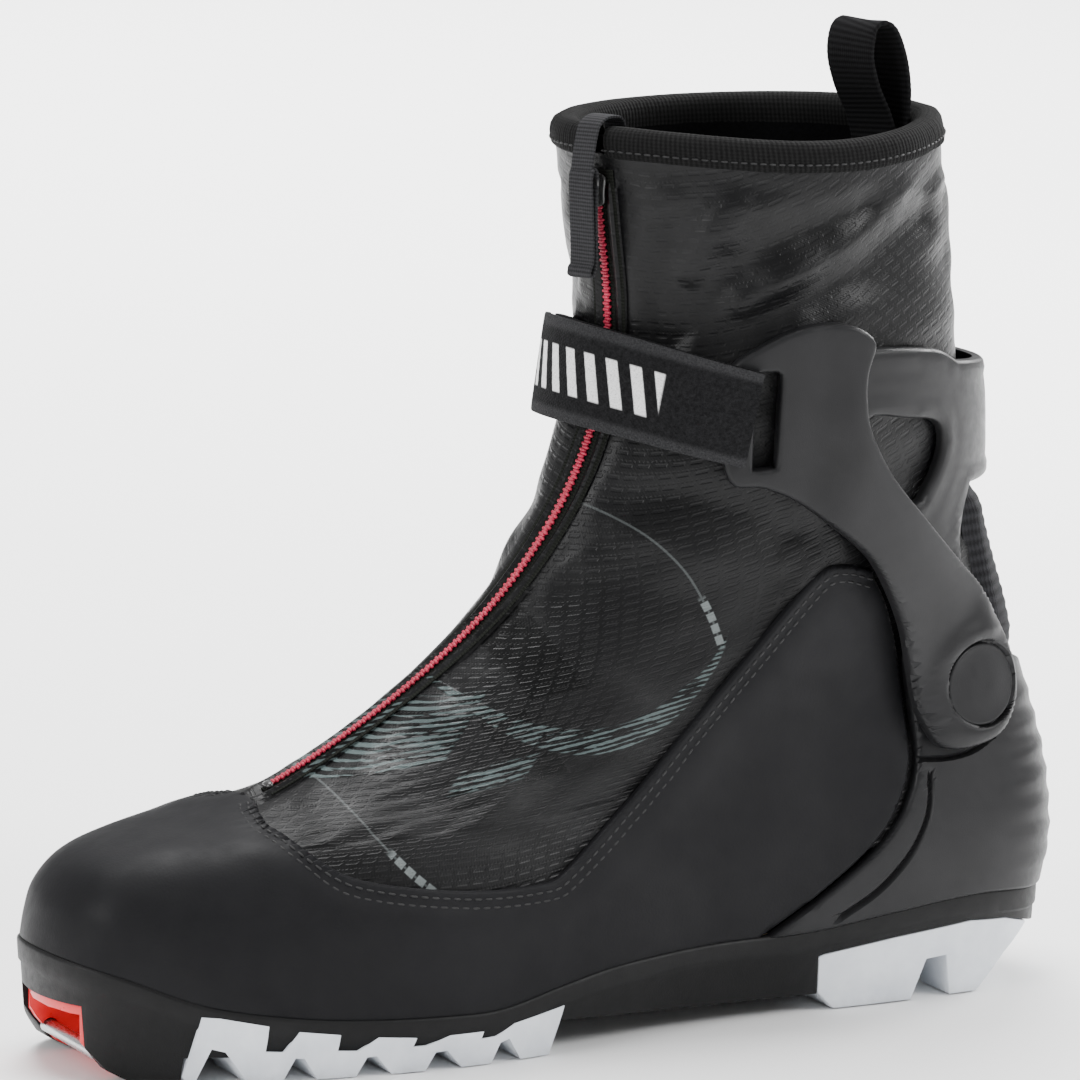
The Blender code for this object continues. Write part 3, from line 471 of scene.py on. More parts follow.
def sweep(name, centres, across, out, ring, look, closed=False, sharp=50, capped=True):
    """Solid swept along centres. ring is (points along, points round, 2): offsets along across and out."""
    centres, across, out = (np.asarray(a, float) for a in (centres, across, out))
    ring = np.broadcast_to(ring, (len(centres),) + np.asarray(ring).shape[-2:])
    points = centres[:, None] + across[:, None] * ring[..., :1] + out[:, None] * ring[..., 1:]
    count, sides = points.shape[:2]
    i = np.arange(count if closed else count - 1)[:, None]
    j = np.arange(sides)[None, :]
    n, m = (i + 1) % count, (j + 1) % sides
    faces = np.stack([i * sides + j, i * sides + m, n * sides + m, n * sides + j], -1).reshape(-1, 4)
    faces = [tuple(f) for f in faces]
    if capped and not closed:
        faces += [tuple(range(sides))[::-1], tuple((count - 1) * sides + k for k in range(sides))]
    obj = new_object(name, points.reshape(-1, 3), faces, look, sharp)
    length = np.concatenate([[0], np.cumsum(np.linalg.norm(np.diff(centres, axis=0), axis=1))])
    flat = np.stack([np.broadcast_to(length[:, None], ring.shape[:2]), ring[..., 0]], -1)
    set_uv(obj, flat.reshape(-1, 2))
    return obj


def oblong(width, thickness, sides=28, square=5.0):
    """Ring of a flat band: a superellipse."""
    turns = np.arange(sides) * FULL_TURN / sides
    c, s = np.cos(turns), np.sin(turns)
    x = np.sign(c) * np.abs(c) ** (2 / square) * width / 2
    y = np.sign(s) * np.abs(s) ** (2 / square) * thickness / 2
    return np.stack([x, y], -1)


def frames(path, across):
    """Across and outward directions along a path, for a band whose width lies along across."""
    way = unit(np.gradient(np.asarray(path, float), axis=0))
    across = np.broadcast_to(np.asarray(across, float), way.shape)
    across = unit(across - way * (across * way).sum(-1, keepdims=True))
    return across, np.cross(across, way)


def beads(name, centres, ways, ups, size, look, rings=6, sides=8):
    """Rounded grains at centres, each size (length, width, height) along its own way and up."""
    polar = (np.arange(rings) + 0.5) * math.pi / rings
    turns = np.arange(sides) * FULL_TURN / sides
    body = np.array(
        [(-math.cos(p), math.sin(p) * math.cos(t), math.sin(p) * math.sin(t)) for p in polar for t in turns]
    )
    body = np.sign(body) * np.abs(body) ** 0.75 * np.array(size) / 2
    sideways = np.cross(ups, ways)
    points = (
        centres[:, None]
        + ways[:, None] * body[None, :, :1]
        + sideways[:, None] * body[None, :, 1:2]
        + ups[:, None] * body[None, :, 2:]
    ).reshape(-1, 3)
    faces = []
    for n in range(len(centres)):
        first = n * rings * sides
        for r in range(rings - 1):
            a = first + r * sides
            faces += [(a + k, a + (k + 1) % sides, a + sides + (k + 1) % sides, a + sides + k) for k in range(sides)]
        faces.append(tuple(first + k for k in reversed(range(sides))))
        faces.append(tuple(first + (rings - 1) * sides + k for k in range(sides)))
    return new_object(name, points, faces, look, 60)


def stitches(name, places, height, look, pitch=3.3, length=2.3, width=0.75, closed=False):
    """Sewing thread seen as a row of short stitches along places on the skin."""
    path = even(skin(places[:, 0], places[:, 1], height), pitch, closed)
    dense = even(places, 0.01, closed)
    normals = directions(dense[:, 0], dense[:, 1])[2]
    spots = skin(dense[:, 0], dense[:, 1], height)
    tree = KDTree(len(spots))
    for k, p in enumerate(spots):
        tree.insert(p, k)
    tree.balance()
    ups = np.array([normals[tree.find(p)[1]] for p in path])
    ways = unit(np.gradient(path, axis=0))
    ups = unit(ups - ways * (ups * ways).sum(-1, keepdims=True))
    return beads(name, path, ways, ups, (length, width, 0.7), look)


def join(name, objects):
    """One piece from several that never move apart."""
    bpy.ops.object.select_all(action="DESELECT")
    for obj in objects:
        obj.select_set(True)
    bpy.context.view_layer.objects.active = objects[0]
    bpy.ops.object.join()
    objects[0].name = objects[0].data.name = name
    return objects[0]


# ---------------------------------------------------------------- materials

class Paint:
    """Short way to write one material's nodes."""

    def __init__(self, name, roughness=0.6, metallic=0.0, **fixed):
        self.made = bpy.data.materials.new(name)
        self.made.use_nodes = True
        self.nodes = self.made.node_tree.nodes
        self.links = self.made.node_tree.links
        self.shader = self.nodes["Principled BSDF"]
        self.set("Roughness", roughness)
        self.set("Metallic", metallic)
        for key, value in fixed.items():
            self.set(key.replace("_", " "), value)

    def set(self, key, value):
        if isinstance(value, bpy.types.NodeSocket):
            self.links.new(value, self.shader.inputs[key])
        else:
            self.shader.inputs[key].default_value = value

    def node(self, kind, inputs, output=0, **settings):
        made = self.nodes.new("ShaderNode" + kind)
        for key, value in settings.items():
            setattr(made, key, value)
        for key, value in inputs.items():
            if isinstance(value, bpy.types.NodeSocket):
                self.links.new(value, made.inputs[key])
            else:
                made.inputs[key].default_value = value
        return made.outputs[output]

    def place(self):
        """Position in the object, in mm."""
        where = self.nodes.new("ShaderNodeTexCoord").outputs["Object"]
        return self.node("VectorMath", {0: where, 1: (1000, 1000, 1000)}, operation="MULTIPLY")

    def plan(self):
        return self.node("UVMap", {}, uv_map="plan")

    def split(self, vector):
        made = self.nodes.new("ShaderNodeSeparateXYZ")
        self.links.new(vector, made.inputs[0])
        return made.outputs

    def math(self, operation, a, b=0.0, c=0.0):
        return self.node("Math", {0: a, 1: b, 2: c}, operation=operation)

    def step(self, value, low, high):
        """0 below low and 1 above high, or the other way round where low is above high."""
        inputs = {0: value, 1: low, 2: high, 3: 0.0, 4: 1.0}
        return self.node("MapRange", inputs, interpolation_type="SMOOTHSTEP")

    def between(self, value, low, high, soft):
        rise = self.step(value, low - soft, low + soft)
        fall = self.step(value, high + soft, high - soft)
        return self.math("MULTIPLY", rise, fall)

    def noise(self, vector, size, detail=3.0, roughness=0.55):
        """Cloudy value about 0.5, with features about size mm wide."""
        inputs = {"Vector": vector, "Scale": 1 / size, "Detail": detail, "Roughness": roughness}
        return self.node("TexNoise", inputs)

    def mix(self, share, a, b):
        made = self.nodes.new("ShaderNodeMix")
        made.data_type = "RGBA"
        for key, value in ((0, share), (6, a), (7, b)):
            if isinstance(value, bpy.types.NodeSocket):
                self.links.new(value, made.inputs[key])
            elif key:
                made.inputs[key].default_value = (*value, 1.0)
            else:
                made.inputs[key].default_value = value
        return made.outputs[2]

    def range(self, value, low, high, from_low=0.3, from_high=0.7):
        return self.node("MapRange", {0: value, 1: from_low, 2: from_high, 3: low, 4: high})

    def bump(self, height, distance, strength=1.0, under=None):
        """Bump whose height of 1 stands distance mm high."""
        inputs = {"Height": height, "Distance": distance * MM, "Strength": strength}
        if under is not None:
            inputs["Normal"] = under
        return self.node("Bump", inputs)


def moulded(name, dark, light, roughness, grain=0.35, depth=0.05):
    """Moulded plastic with a fine spark-eroded grain and a faintly cloudy gloss."""
    paint = Paint(name, roughness, Specular_IOR_Level=0.22)
    place = paint.place()
    cloud = paint.noise(place, 26, 3)
    fine = paint.noise(place, grain, 2, 0.7)
    scuff = paint.noise(place, 3.5, 4, 0.7)
    paint.set("Base Color", paint.mix(paint.range(cloud, 0, 1), dark, light))
    paint.set("Roughness", paint.range(scuff, roughness - 0.06, roughness + 0.08))
    paint.set("Normal", paint.bump(fine, depth, 0.7))
    return paint.made


def leather(name, dark, light):
    """Smooth coated synthetic leather: fine pebble grain, soft sheen."""
    paint = Paint(name, 0.5, Specular_IOR_Level=0.12)
    place = paint.place()
    cells = paint.node("TexVoronoi", {"Vector": place, "Scale": 1.35, "Randomness": 1.0})
    grain = paint.noise(place, 1.1, 3, 0.6)
    height = paint.math("MULTIPLY_ADD", cells, 0.6, grain)
    paint.set("Base Color", paint.mix(paint.range(paint.noise(place, 34, 3), 0, 1), dark, light))
    paint.set("Roughness", paint.range(paint.noise(place, 9, 4), 0.46, 0.6))
    paint.set("Normal", paint.bump(height, 0.06, 0.55))
    return paint.made


def weave(paint, across, along, pitch):
    """Plain weave height: 0 between threads to 1 on top of one."""
    wave = FULL_TURN / pitch
    a = paint.math("SINE", paint.math("MULTIPLY", across, wave))
    b = paint.math("SINE", paint.math("MULTIPLY", along, wave))
    return paint.math("MULTIPLY_ADD", paint.math("MULTIPLY", a, b), 0.5, 0.5)


def softshell():
    """Near-black softshell with embossed rows of dashes and dots, and a generic printed ring on each side."""
    paint = Paint("softshell", 0.42, Specular_IOR_Level=0.22)
    place = paint.place()
    u, v, _ = paint.split(paint.plan())
    x, y, z = paint.split(place)
    row = paint.math("DIVIDE", v, 3.1)
    odd = paint.math("MODULO", paint.math("FLOOR", row), 2.0)
    inside_row = paint.math("FRACT", row)
    column = paint.math("FRACT", paint.math("MULTIPLY_ADD", odd, 0.5, paint.math("DIVIDE", u, 4.6)))
    dash = paint.math(
        "MULTIPLY", paint.between(column, 0.16, 0.84, 0.05), paint.between(inside_row, 0.36, 0.64, 0.08)
    )
    dotted = paint.math("FRACT", paint.math("DIVIDE", u, 1.15))
    dots = paint.math("MULTIPLY", paint.between(dotted, 0.28, 0.72, 0.12), paint.between(inside_row, 0.8, 0.95, 0.05))
    emboss = paint.math("MAXIMUM", dash, paint.math("MULTIPLY", dots, 0.6))
    lower = paint.step(z, 176, 150)
    emboss = paint.math("MULTIPLY", emboss, paint.math("MULTIPLY_ADD", lower, 0.35, 0.65))
    cloth = weave(paint, u, v, 0.75)
    cloud = paint.noise(place, 30, 3)
    base = paint.mix(paint.range(cloud, 0, 1), (0.0012, 0.0012, 0.0014), (0.0035, 0.0035, 0.004))
    base = paint.mix(paint.math("MULTIPLY", emboss, 0.5), base, (0.006, 0.006, 0.0066))
    ring_mask, print_mask, film = badge(paint, x, z)
    base = paint.mix(film, base, (0.001, 0.001, 0.0012))
    base = paint.mix(print_mask, base, (0.075, 0.10, 0.10))
    base = paint.mix(ring_mask, base, (0.12, 0.135, 0.135))
    paint.set("Base Color", base)
    gloss = paint.math("MAXIMUM", film, print_mask)
    matt = paint.range(paint.noise(place, 6, 3), 0.36, 0.46)
    paint.set("Roughness", paint.math("MULTIPLY", matt, paint.math("MULTIPLY_ADD", gloss, -0.2, 1.0)))
    bump = paint.bump(cloth, 0.035, 0.6)
    bump = paint.bump(emboss, -0.12, 0.9, bump)
    paint.set("Normal", paint.bump(film, 0.12, 0.6, bump))
    return paint.made


RING_CENTRE = (-20.0, 91.0)
RING_RADIUS = 56.0


def badge(paint, x, z):
    """Masks of the print: a thin broken ring, halftone crescents, and a glossy film under them."""
    dx = paint.math("SUBTRACT", x, RING_CENTRE[0])
    dz = paint.math("SUBTRACT", z, RING_CENTRE[1])

    def distance(cx, cz):
        a = paint.math("SUBTRACT", dx, cx)
        b = paint.math("SUBTRACT", dz, cz)
        return paint.math("SQRT", paint.math("ADD", paint.math("MULTIPLY", a, a), paint.math("MULTIPLY", b, b)))

    far = distance(0.0, 0.0)
    angle = paint.math("ARCTAN2", dz, dx)
    line = paint.between(far, RING_RADIUS - 0.3, RING_RADIUS + 0.3, 0.15)
    upper = paint.between(angle, 0.25, 1.15, 0.05)
    lowest = paint.between(angle, -2.85, -2.2, 0.05)
    arcs = paint.math("MAXIMUM", upper, lowest)
    broken = paint.between(paint.math("FRACT", paint.math("MULTIPLY", angle, 17)), 0.12, 0.86, 0.05)
    bold = paint.math("MAXIMUM", paint.between(angle, 0.23, 0.48, 0.02), paint.between(angle, -2.5, -2.24, 0.02))
    band = paint.between(far, RING_RADIUS - 1.1, RING_RADIUS + 1.1, 0.2)
    spots = paint.math("MULTIPLY", paint.math("MULTIPLY", band, bold), broken)
    ring = paint.math("MAXIMUM", paint.math("MULTIPLY", paint.math("MULTIPLY", line, arcs), 0.35), spots)

    def crescent(outer, inner):
        cx, cz, radius = outer
        kept = paint.step(distance(cx, cz), radius + 0.3, radius - 0.3)
        cx, cz, radius = inner
        return paint.math("MULTIPLY", kept, paint.step(distance(cx, cz), radius - 0.3, radius + 0.3))

    def slab(cx, cz, half_long, half_high, lean):
        a = paint.math("MULTIPLY_ADD", paint.math("SUBTRACT", dz, cz), lean, paint.math("SUBTRACT", dx, cx))
        b = paint.math("MULTIPLY_ADD", dx, -0.18, paint.math("SUBTRACT", dz, cz))
        inside = paint.between(a, -half_long, half_long, 0.5)
        return paint.math("MULTIPLY", inside, paint.between(b, -half_high, half_high, 0.4))

    sweep_band = crescent((16.0, 30.0, 43.0), (15.0, 43.0, 49.5))
    patch = slab(-27.0, -2.0, 14.0, 7.0, -0.9)
    short = slab(-10.0, -14.5, 9.0, 2.4, -0.9)
    shapes = paint.math("MAXIMUM", paint.math("MAXIMUM", sweep_band, patch), short)
    slant = paint.math("MULTIPLY_ADD", dx, -0.18, dz)
    lines = paint.math("SINE", paint.math("MULTIPLY", slant, FULL_TURN / 1.25))
    streak = paint.node("CombineXYZ", {0: paint.math("MULTIPLY", dx, 0.16), 1: slant, 2: 0.0})
    tone = paint.noise(streak, 1.6, 3, 0.7)
    halftone = paint.step(paint.math("ADD", lines, paint.range(tone, -1.6, 1.4)), 0.0, 0.5)
    printed = paint.math("MULTIPLY", shapes, halftone)
    gloss = paint.math("MAXIMUM", slab(4.0, 12.0, 8.0, 11.0, 0.55), slab(-2.0, -10.0, 7.0, 9.0, 0.55))
    film = paint.math("MAXIMUM", gloss, shapes)
    return ring, paint.math("MULTIPLY", printed, 0.85), film


def knit(name, colour, pitch=1.2, depth=0.25, roughness=0.85):
    """Ribbed or looped textile, ribs across the piece's own length."""
    paint = Paint(name, roughness, Specular_IOR_Level=0.1)
    place = paint.place()
    u, v, _ = paint.split(paint.plan())
    ribs = paint.math("SINE", paint.math("MULTIPLY", u, FULL_TURN / pitch))
    threads = paint.math("SINE", paint.math("MULTIPLY", v, FULL_TURN / 0.8))
    fuzz = paint.noise(place, 0.5, 3, 0.7)
    height = paint.math("MULTIPLY_ADD", ribs, 0.35, paint.math("MULTIPLY_ADD", threads, 0.15, fuzz))
    # Colour follows the relief height. light is a lighter copy of colour, so this is painted shade in the grooves
    # between ribs and threads and a painted highlight on their tops, with some random tone from the fuzz noise.
    light = tuple(min(1.0, c * 2.4 + 0.003) for c in colour)
    paint.set("Base Color", paint.mix(paint.range(height, 0, 1, 0.1, 1.0), colour, light))
    paint.set("Normal", paint.bump(height, depth, 0.7))
    return paint.made


def strap_look():
    """Heathered charcoal webbing, fuzzy at its edges, with a generic print of slanted white bars."""
    paint = Paint("strap_webbing", 0.88, Specular_IOR_Level=0.12)
    place = paint.place()
    u, v, _ = paint.split(paint.plan())
    fuzz = paint.noise(place, 0.45, 3, 0.75)
    heather = paint.noise(place, 1.2, 4, 0.8)
    ribs = paint.math("SINE", paint.math("MULTIPLY", u, FULL_TURN / 1.5))
    threads = paint.math("SINE", paint.math("MULTIPLY", v, FULL_TURN / 1.1))
    height = paint.math("MULTIPLY_ADD", paint.math("MULTIPLY", ribs, threads), 0.3, fuzz)
    edge = paint.step(paint.math("ABSOLUTE", v), 9.6, 11.4)
    base = paint.mix(paint.range(heather, 0, 1, 0.35, 0.7), (0.003, 0.003, 0.0034), (0.014, 0.014, 0.015))
    base = paint.mix(paint.math("MULTIPLY", edge, paint.range(fuzz, 0.1, 0.9)), base, (0.04, 0.04, 0.042))
    slanted = paint.math("MULTIPLY_ADD", v, -0.32, u)
    bars = paint.between(paint.math("FRACT", paint.math("DIVIDE", slanted, 7.4)), 0.2, 0.68, 0.03)
    band = paint.math("MULTIPLY", paint.between(u, 26, 84, 0.4), paint.between(v, -6.2, 6.2, 0.3))
    worn = paint.range(fuzz, 0.55, 1.0, 0.3, 0.5)
    printed = paint.math("MULTIPLY", paint.math("MULTIPLY", bars, band), worn)
    paint.set("Base Color", paint.mix(printed, base, (0.8, 0.8, 0.8)))
    paint.set("Normal", paint.bump(height, 0.3, 0.8))
    return paint.made


def fleece(name, dark, light, size=1.1):
    paint = Paint(name, 0.95, Specular_IOR_Level=0.08)
    place = paint.place()
    tufts = paint.noise(place, size, 4, 0.75)
    paint.set("Base Color", paint.mix(paint.range(tufts, 0, 1), dark, light))
    paint.set("Normal", paint.bump(tufts, 0.5, 0.8))
    return paint.made


def rubber_look():
    """Pale tread rubber: faint flow marks, fine pits, and darker grey blotches in its lowest 3 mm."""
    paint = Paint("tread_rubber", 0.55, Specular_IOR_Level=0.4)
    place = paint.place()
    cloud = paint.noise(place, 14, 4, 0.6)
    pits = paint.noise(place, 0.4, 2, 0.6)
    base = paint.mix(paint.range(cloud, 0, 1), (0.60, 0.63, 0.68), (0.74, 0.77, 0.81))
    _, _, z = paint.split(place)
    # Darker grey in blotches below 3 mm height, where the tread meets the floor.
    low_grey_blotches = paint.math("MULTIPLY", paint.step(z, 3.0, 0.0), paint.range(paint.noise(place, 2.4, 5, 0.75), 0.0, 0.35))
    paint.set("Base Color", paint.mix(low_grey_blotches, base, (0.33, 0.33, 0.33)))
    paint.set("Roughness", paint.range(cloud, 0.48, 0.62))
    paint.set("Normal", paint.bump(pits, 0.04, 0.6))
    return paint.made


def satin(name, dark, light, roughness, metallic=0.0, coat=0.0):
    paint = Paint(name, roughness, metallic, Coat_Weight=coat)
    place = paint.place()
    cloud = paint.noise(place, 7, 4)
    fine = paint.noise(place, 0.5, 3)
    paint.set("Base Color", paint.mix(paint.range(cloud, 0, 1), dark, light))
    paint.set("Roughness", paint.range(paint.noise(place, 1.6, 4, 0.7), roughness - 0.07, roughness + 0.1))
    paint.set("Normal", paint.bump(fine, 0.02, 0.5))
    return paint.made


def brushed(name):
    """Ground steel with fine lines across."""
    paint = Paint(name, 0.3, 1.0)
    place = paint.place()
    x, y, z = paint.split(place)
    lines = paint.node("CombineXYZ", {0: x, 1: paint.math("MULTIPLY", y, 0.08), 2: z})
    scratch = paint.noise(lines, 0.18, 3, 0.7)
    paint.set("Base Color", paint.mix(paint.range(scratch, 0, 1), (0.5, 0.5, 0.51), (0.68, 0.68, 0.69)))
    paint.set("Roughness", paint.range(scratch, 0.2, 0.42))
    paint.set("Normal", paint.bump(scratch, 0.02, 0.5))
    return paint.made


def board_look():
    paint = Paint("fibre_board", 0.9)
    place = paint.place()
    fibre = paint.noise(place, 1.5, 5, 0.8)
    paint.set("Base Color", paint.mix(paint.range(fibre, 0, 1), (0.30, 0.22, 0.14), (0.50, 0.40, 0.28)))
    paint.set("Normal", paint.bump(fibre, 0.15, 0.6))
    return paint.made


def floor_look():
    paint = Paint("studio_floor", 0.75)
    place = paint.place()
    paint.set("Base Color", paint.mix(paint.noise(place, 400, 2), (0.86, 0.86, 0.86), (0.9, 0.9, 0.9)))
    return paint.made


SOFTSHELL = softshell()
OVERLAY = leather("overlay", (0.0055, 0.0055, 0.0064), (0.0095, 0.0095, 0.0105))
CUFF = moulded("cuff_plastic", (0.0085, 0.0085, 0.0092), (0.0135, 0.0135, 0.0145), 0.4)
SOLE = moulded("sole_plastic", (0.002, 0.002, 0.0022), (0.004, 0.004, 0.0043), 0.5, 0.5, 0.07)
TREAD = rubber_look()
RED = satin("red_insert", (0.62, 0.006, 0.010), (0.78, 0.014, 0.020), 0.32, coat=0.2)
COIL = satin("zip_coil", (0.30, 0.007, 0.03), (0.42, 0.014, 0.05), 0.5)
ENAMEL = satin("slider_enamel", (0.012, 0.012, 0.012), (0.03, 0.03, 0.03), 0.3, coat=0.4)
STEEL = brushed("brushed_steel")
TAPE = knit("zip_tape", (0.004, 0.0045, 0.0035), 0.9, 0.12)
BINDING = knit("binding_tape", (0.0028, 0.0028, 0.0028), 1.1, 0.25)
WEBBING = knit("loop_webbing", (0.003, 0.003, 0.0033), 1.5, 0.2)
TAB = knit("tab_ribbon", (0.014, 0.014, 0.015), 1.0, 0.16)
STRAP = strap_look()
HOOK = knit("hook_tape", (0.006, 0.006, 0.006), 0.9, 0.3)
RIB = knit("rib_panel", (0.008, 0.008, 0.009), 3.0, 0.3, 0.75)
FLEECE = fleece("lining_fleece", (0.0008, 0.0008, 0.001), (0.003, 0.003, 0.0035))
FOAM = fleece("footbed_cloth", (0.035, 0.035, 0.037), (0.085, 0.085, 0.09), 0.8)
BOARD = board_look()
THREAD = satin("thread", (0.001, 0.001, 0.0012), (0.003, 0.003, 0.0035), 0.6)
FLOOR = floor_look()


def settle(obj, body, slot, *nodes):
    """The piece moves with a body and stands for CAD nodes; slot is not used."""
    if isinstance(body, str):
        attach(obj, body)
    if nodes:
        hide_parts(*nodes)
    return obj


# ---------------------------------------------------------------- upper

def shell(name, rows, columns, low, high, heights, look, gap=0.0, sharp=45):
    """Sleeve round the foot, denser at the back than near the zip, with heights(points, theta, level) as (inner,
    outer).
    """
    count = columns
    turn = np.linspace(-1, 1, count + 1)[:-1] + 1 / count
    share = math.pi + math.pi * (0.62 * turn + 0.38 * turn**3)
    level = np.linspace(0, 1, rows)
    share, level = np.meshgrid(share, level, indexing="ij")
    level = low(share) + (high(share) - low(share)) * level
    theta = zip_theta(level) + gap + (FULL_TURN - 2 * gap) * share / FULL_TURN
    places = np.stack([theta.ravel(), level.ravel()], -1)
    base = skin(places[:, 0], places[:, 1])
    inner, outer = heights(base, places[:, 0], places[:, 1])
    points = skin(places[:, 0], places[:, 1], outer)
    faces = grid_faces(count, rows, closed=gap == 0)
    obj = two_sided(name, points, skin(places[:, 0], places[:, 1], inner), faces, look, sharp)
    lattice = points.reshape(count, rows, 3)
    around = np.cumsum(np.linalg.norm(np.diff(lattice, axis=0, prepend=lattice[:1]), axis=2), axis=0)
    upward = np.cumsum(np.linalg.norm(np.diff(lattice, axis=1, prepend=lattice[:, :1]), axis=2), axis=1)
    upward = np.broadcast_to(upward.mean(0) * 0.6, upward.shape) + upward * 0.4
    plan = np.stack([around, upward], -1).reshape(-1, 2)
    set_uv(obj, np.vstack([plan, plan]))
    return obj


def waves(points, size, seed):
    """Smooth seeded waves from -1 to 1 about size mm long, the same on every run."""
    chance = np.random.default_rng(seed)
    total = np.zeros(len(points))
    for _ in range(9):
        way = unit(chance.normal(size=3)) * FULL_TURN / (size * chance.uniform(0.75, 1.6))
        total += np.sin(points @ way + chance.uniform(0, FULL_TURN))
    return total / 4.2


FOLDS = (
    (((26, 224), (21, 207), (22, 192)), 6.0, 1.8),
    (((74, 220), (52, 214), (33, 203), (22, 189)), 7.0, 3.0),
    (((98, 217), (72, 205), (46, 193), (34, 187)), 6.5, 2.6),
    (((86, 222), (62, 209.5), (40, 197)), 4.5, -1.6),
    (((38, 224), (31, 214), (27, 204)), 4.5, -1.4),
    (((108, 226), (98, 221), (90, 226)), 6.0, -0.8),
    (((62, 196), (84, 200), (108, 204)), 6.0, 1.0),
    (((-2, 140), (16, 146), (38, 140), (60, 132)), 5.5, 1.1),
    (((-8, 128), (12, 134), (34, 128), (58, 122)), 5.5, -1.0),
    (((-16, 118), (6, 122), (28, 115)), 5.0, 0.8),
    (((84, 134), (100, 128), (116, 127)), 4.5, 1.0),
    (((96, 144), (108, 139), (118, 137)), 4.5, 0.8),
)


# Most of the sheet's points go past SIM_CAP and are cut off there, so the heights are mostly plateaus.
SIM_COLUMNS = 64
SIM_ROWS = 76
SIM_FRAMES = 20
SIM_GROWTH = 0.035
SIM_CAP = 1.3
SIM_SHARE_KEPT = 0.6


def slack():
    """Heights on a lattice of share and level, from a held sheet grown until it buckles."""
    share = np.linspace(0.12, FULL_TURN - 0.12, SIM_COLUMNS)
    level = np.linspace(4.2, 14.7, SIM_ROWS)
    share_at, level_at = np.meshgrid(share, level, indexing="ij")
    theta = zip_theta(level_at) + share_at
    start = skin(theta, level_at).reshape(-1, 3)
    cloth = new_object("slack_sheet", start, grid_faces(SIM_COLUMNS, SIM_ROWS), THREAD, outward=False)
    pinned = np.zeros(theta.shape, bool)
    pinned[[0, 1, -2, -1], :] = True
    pinned[:, [0, 1, -2, -1]] = True
    pinned |= start.reshape(*theta.shape, 3)[..., 2] < 60
    group = cloth.vertex_groups.new(name="held")
    group.add([int(k) for k in np.flatnonzero(pinned)], 1.0, "REPLACE")
    change = cloth.modifiers.new("cloth", "CLOTH")
    settings = change.settings
    settings.quality = 6
    settings.mass = 0.2
    settings.tension_stiffness = settings.compression_stiffness = 25
    settings.shear_stiffness = 8
    settings.bending_stiffness = 0.35
    settings.vertex_group_mass = "held"
    settings.shrink_min = -SIM_GROWTH
    settings.use_pressure = False
    settings.effector_weights.gravity = 0
    change.point_cache.frame_start = 1
    change.point_cache.frame_end = SIM_FRAMES
    nudge = 0.25 * waves(start, 24, 31)
    mesh = cloth.data
    moved = skin(theta, level_at, nudge.reshape(theta.shape) * ~pinned).reshape(-1, 3) * MM
    mesh.vertices.foreach_set("co", moved.ravel())
    for step in range(1, SIM_FRAMES + 1):
        bpy.context.scene.frame_set(step)
    graph = bpy.context.evaluated_depsgraph_get()
    done = cloth.evaluated_get(graph).to_mesh()
    after = np.empty(len(start) * 3)
    done.vertices.foreach_get("co", after)
    normal = directions(theta, level_at)[2].reshape(-1, 3)
    out = ((after.reshape(-1, 3) / MM - start) * normal).sum(1).reshape(theta.shape)
    bpy.data.objects.remove(cloth, do_unlink=True)
    bpy.context.scene.frame_set(1)
    return share, level, np.clip(out, -SIM_CAP, SIM_CAP)


def sampled(lattice, share, level):
    """Values between the points of a lattice, 0 outside it."""
    shares, levels, values = lattice
    i = np.clip((share - shares[0]) / (shares[1] - shares[0]), 0, len(shares) - 1.001)
    j = np.clip((level - levels[0]) / (levels[1] - levels[0]), 0, len(levels) - 1.001)
    a, b = i.astype(int), j.astype(int)
    s, t = i - a, j - b
    low = values[a, b] * (1 - s) + values[a + 1, b] * s
    high = values[a, b + 1] * (1 - s) + values[a + 1, b + 1] * s
    return (low * (1 - t) + high * t) * (level > levels[0])


def cloth_heights(points, theta, level):
    """Inner and outer height of the softshell: welts along the zip, folds, waves and a sunk ankle."""
    line = zip_line(ZIP_END_LEVEL, 14.8)
    from_zip = distance_to(points, skin(*line.T))
    outer = np.full(len(points), -0.35)
    above = ease(points[:, 2], 128, 150)
    calm = ease(from_zip, 6, 16)
    outer += calm * (0.55 + 0.45 * above) * waves(points, 46, 3) * 0.9
    outer += calm * waves(points * (1, 1, 1.7), 21, 8) * 0.32
    for side in (1, -1):
        for path, width, depth in FOLDS:
            places = locate(rounded(path, 4, closed=False), 0, side)
            near = distance_to(points, skin(*places.T)) / (width * 1.5)
            outer -= calm * depth * np.exp(-near**2 * 2.5) * (1.0 if side == 1 else 0.8)
    share = np.remainder(theta - zip_theta(level), FULL_TURN)
    outer += SIM_SHARE_KEPT * calm * sampled(slack(), share, level)
    outer += 1.5 * np.exp(-(((from_zip - 3.5) / 1.25) ** 4))
    outer -= 0.6 * np.exp(-((from_zip / 1.9) ** 2))
    outer -= 0.45 * np.exp(-(((from_zip - 5.6) / 0.55) ** 2))
    share = np.linspace(0, FULL_TURN, 90)
    rim = distance_to(points, skin(zip_theta(15) + share, rim_level(share) - 0.41))
    outer = outer * ease(rim, 0, 9) - 0.35 * (1 - ease(rim, 0, 9))
    outer = np.clip(outer, -3.0, 1.6)
    return outer - 1.5, outer


def make_softshell():
    body = shell(
        "softshell_upper", 250, 300, lambda s: 1.6 + 0 * s, lambda s: rim_level(s) - 0.29, cloth_heights, SOFTSHELL
    )
    settle(body, None, "softshell", "softshell_vamp", "ankle_gusset", "collar_gaiter")
    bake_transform(body)
    return body


def quilted(points, theta, level):
    waves_in = 0.5 * waves(points, 30, 5) + 0.9 * np.cos(level * 2.4)
    return -7.2 - 0.25 * waves_in, np.full(len(points), -4.2)


def make_lining():
    lining = shell(
        "inner_lining", 90, 150, lambda s: 0.05 + 0 * s, lambda s: rim_level(s) - 0.13, quilted, FLEECE
    )
    settle(lining, None, "lining", "inner_bootie", "collar_lining")
    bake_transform(lining)


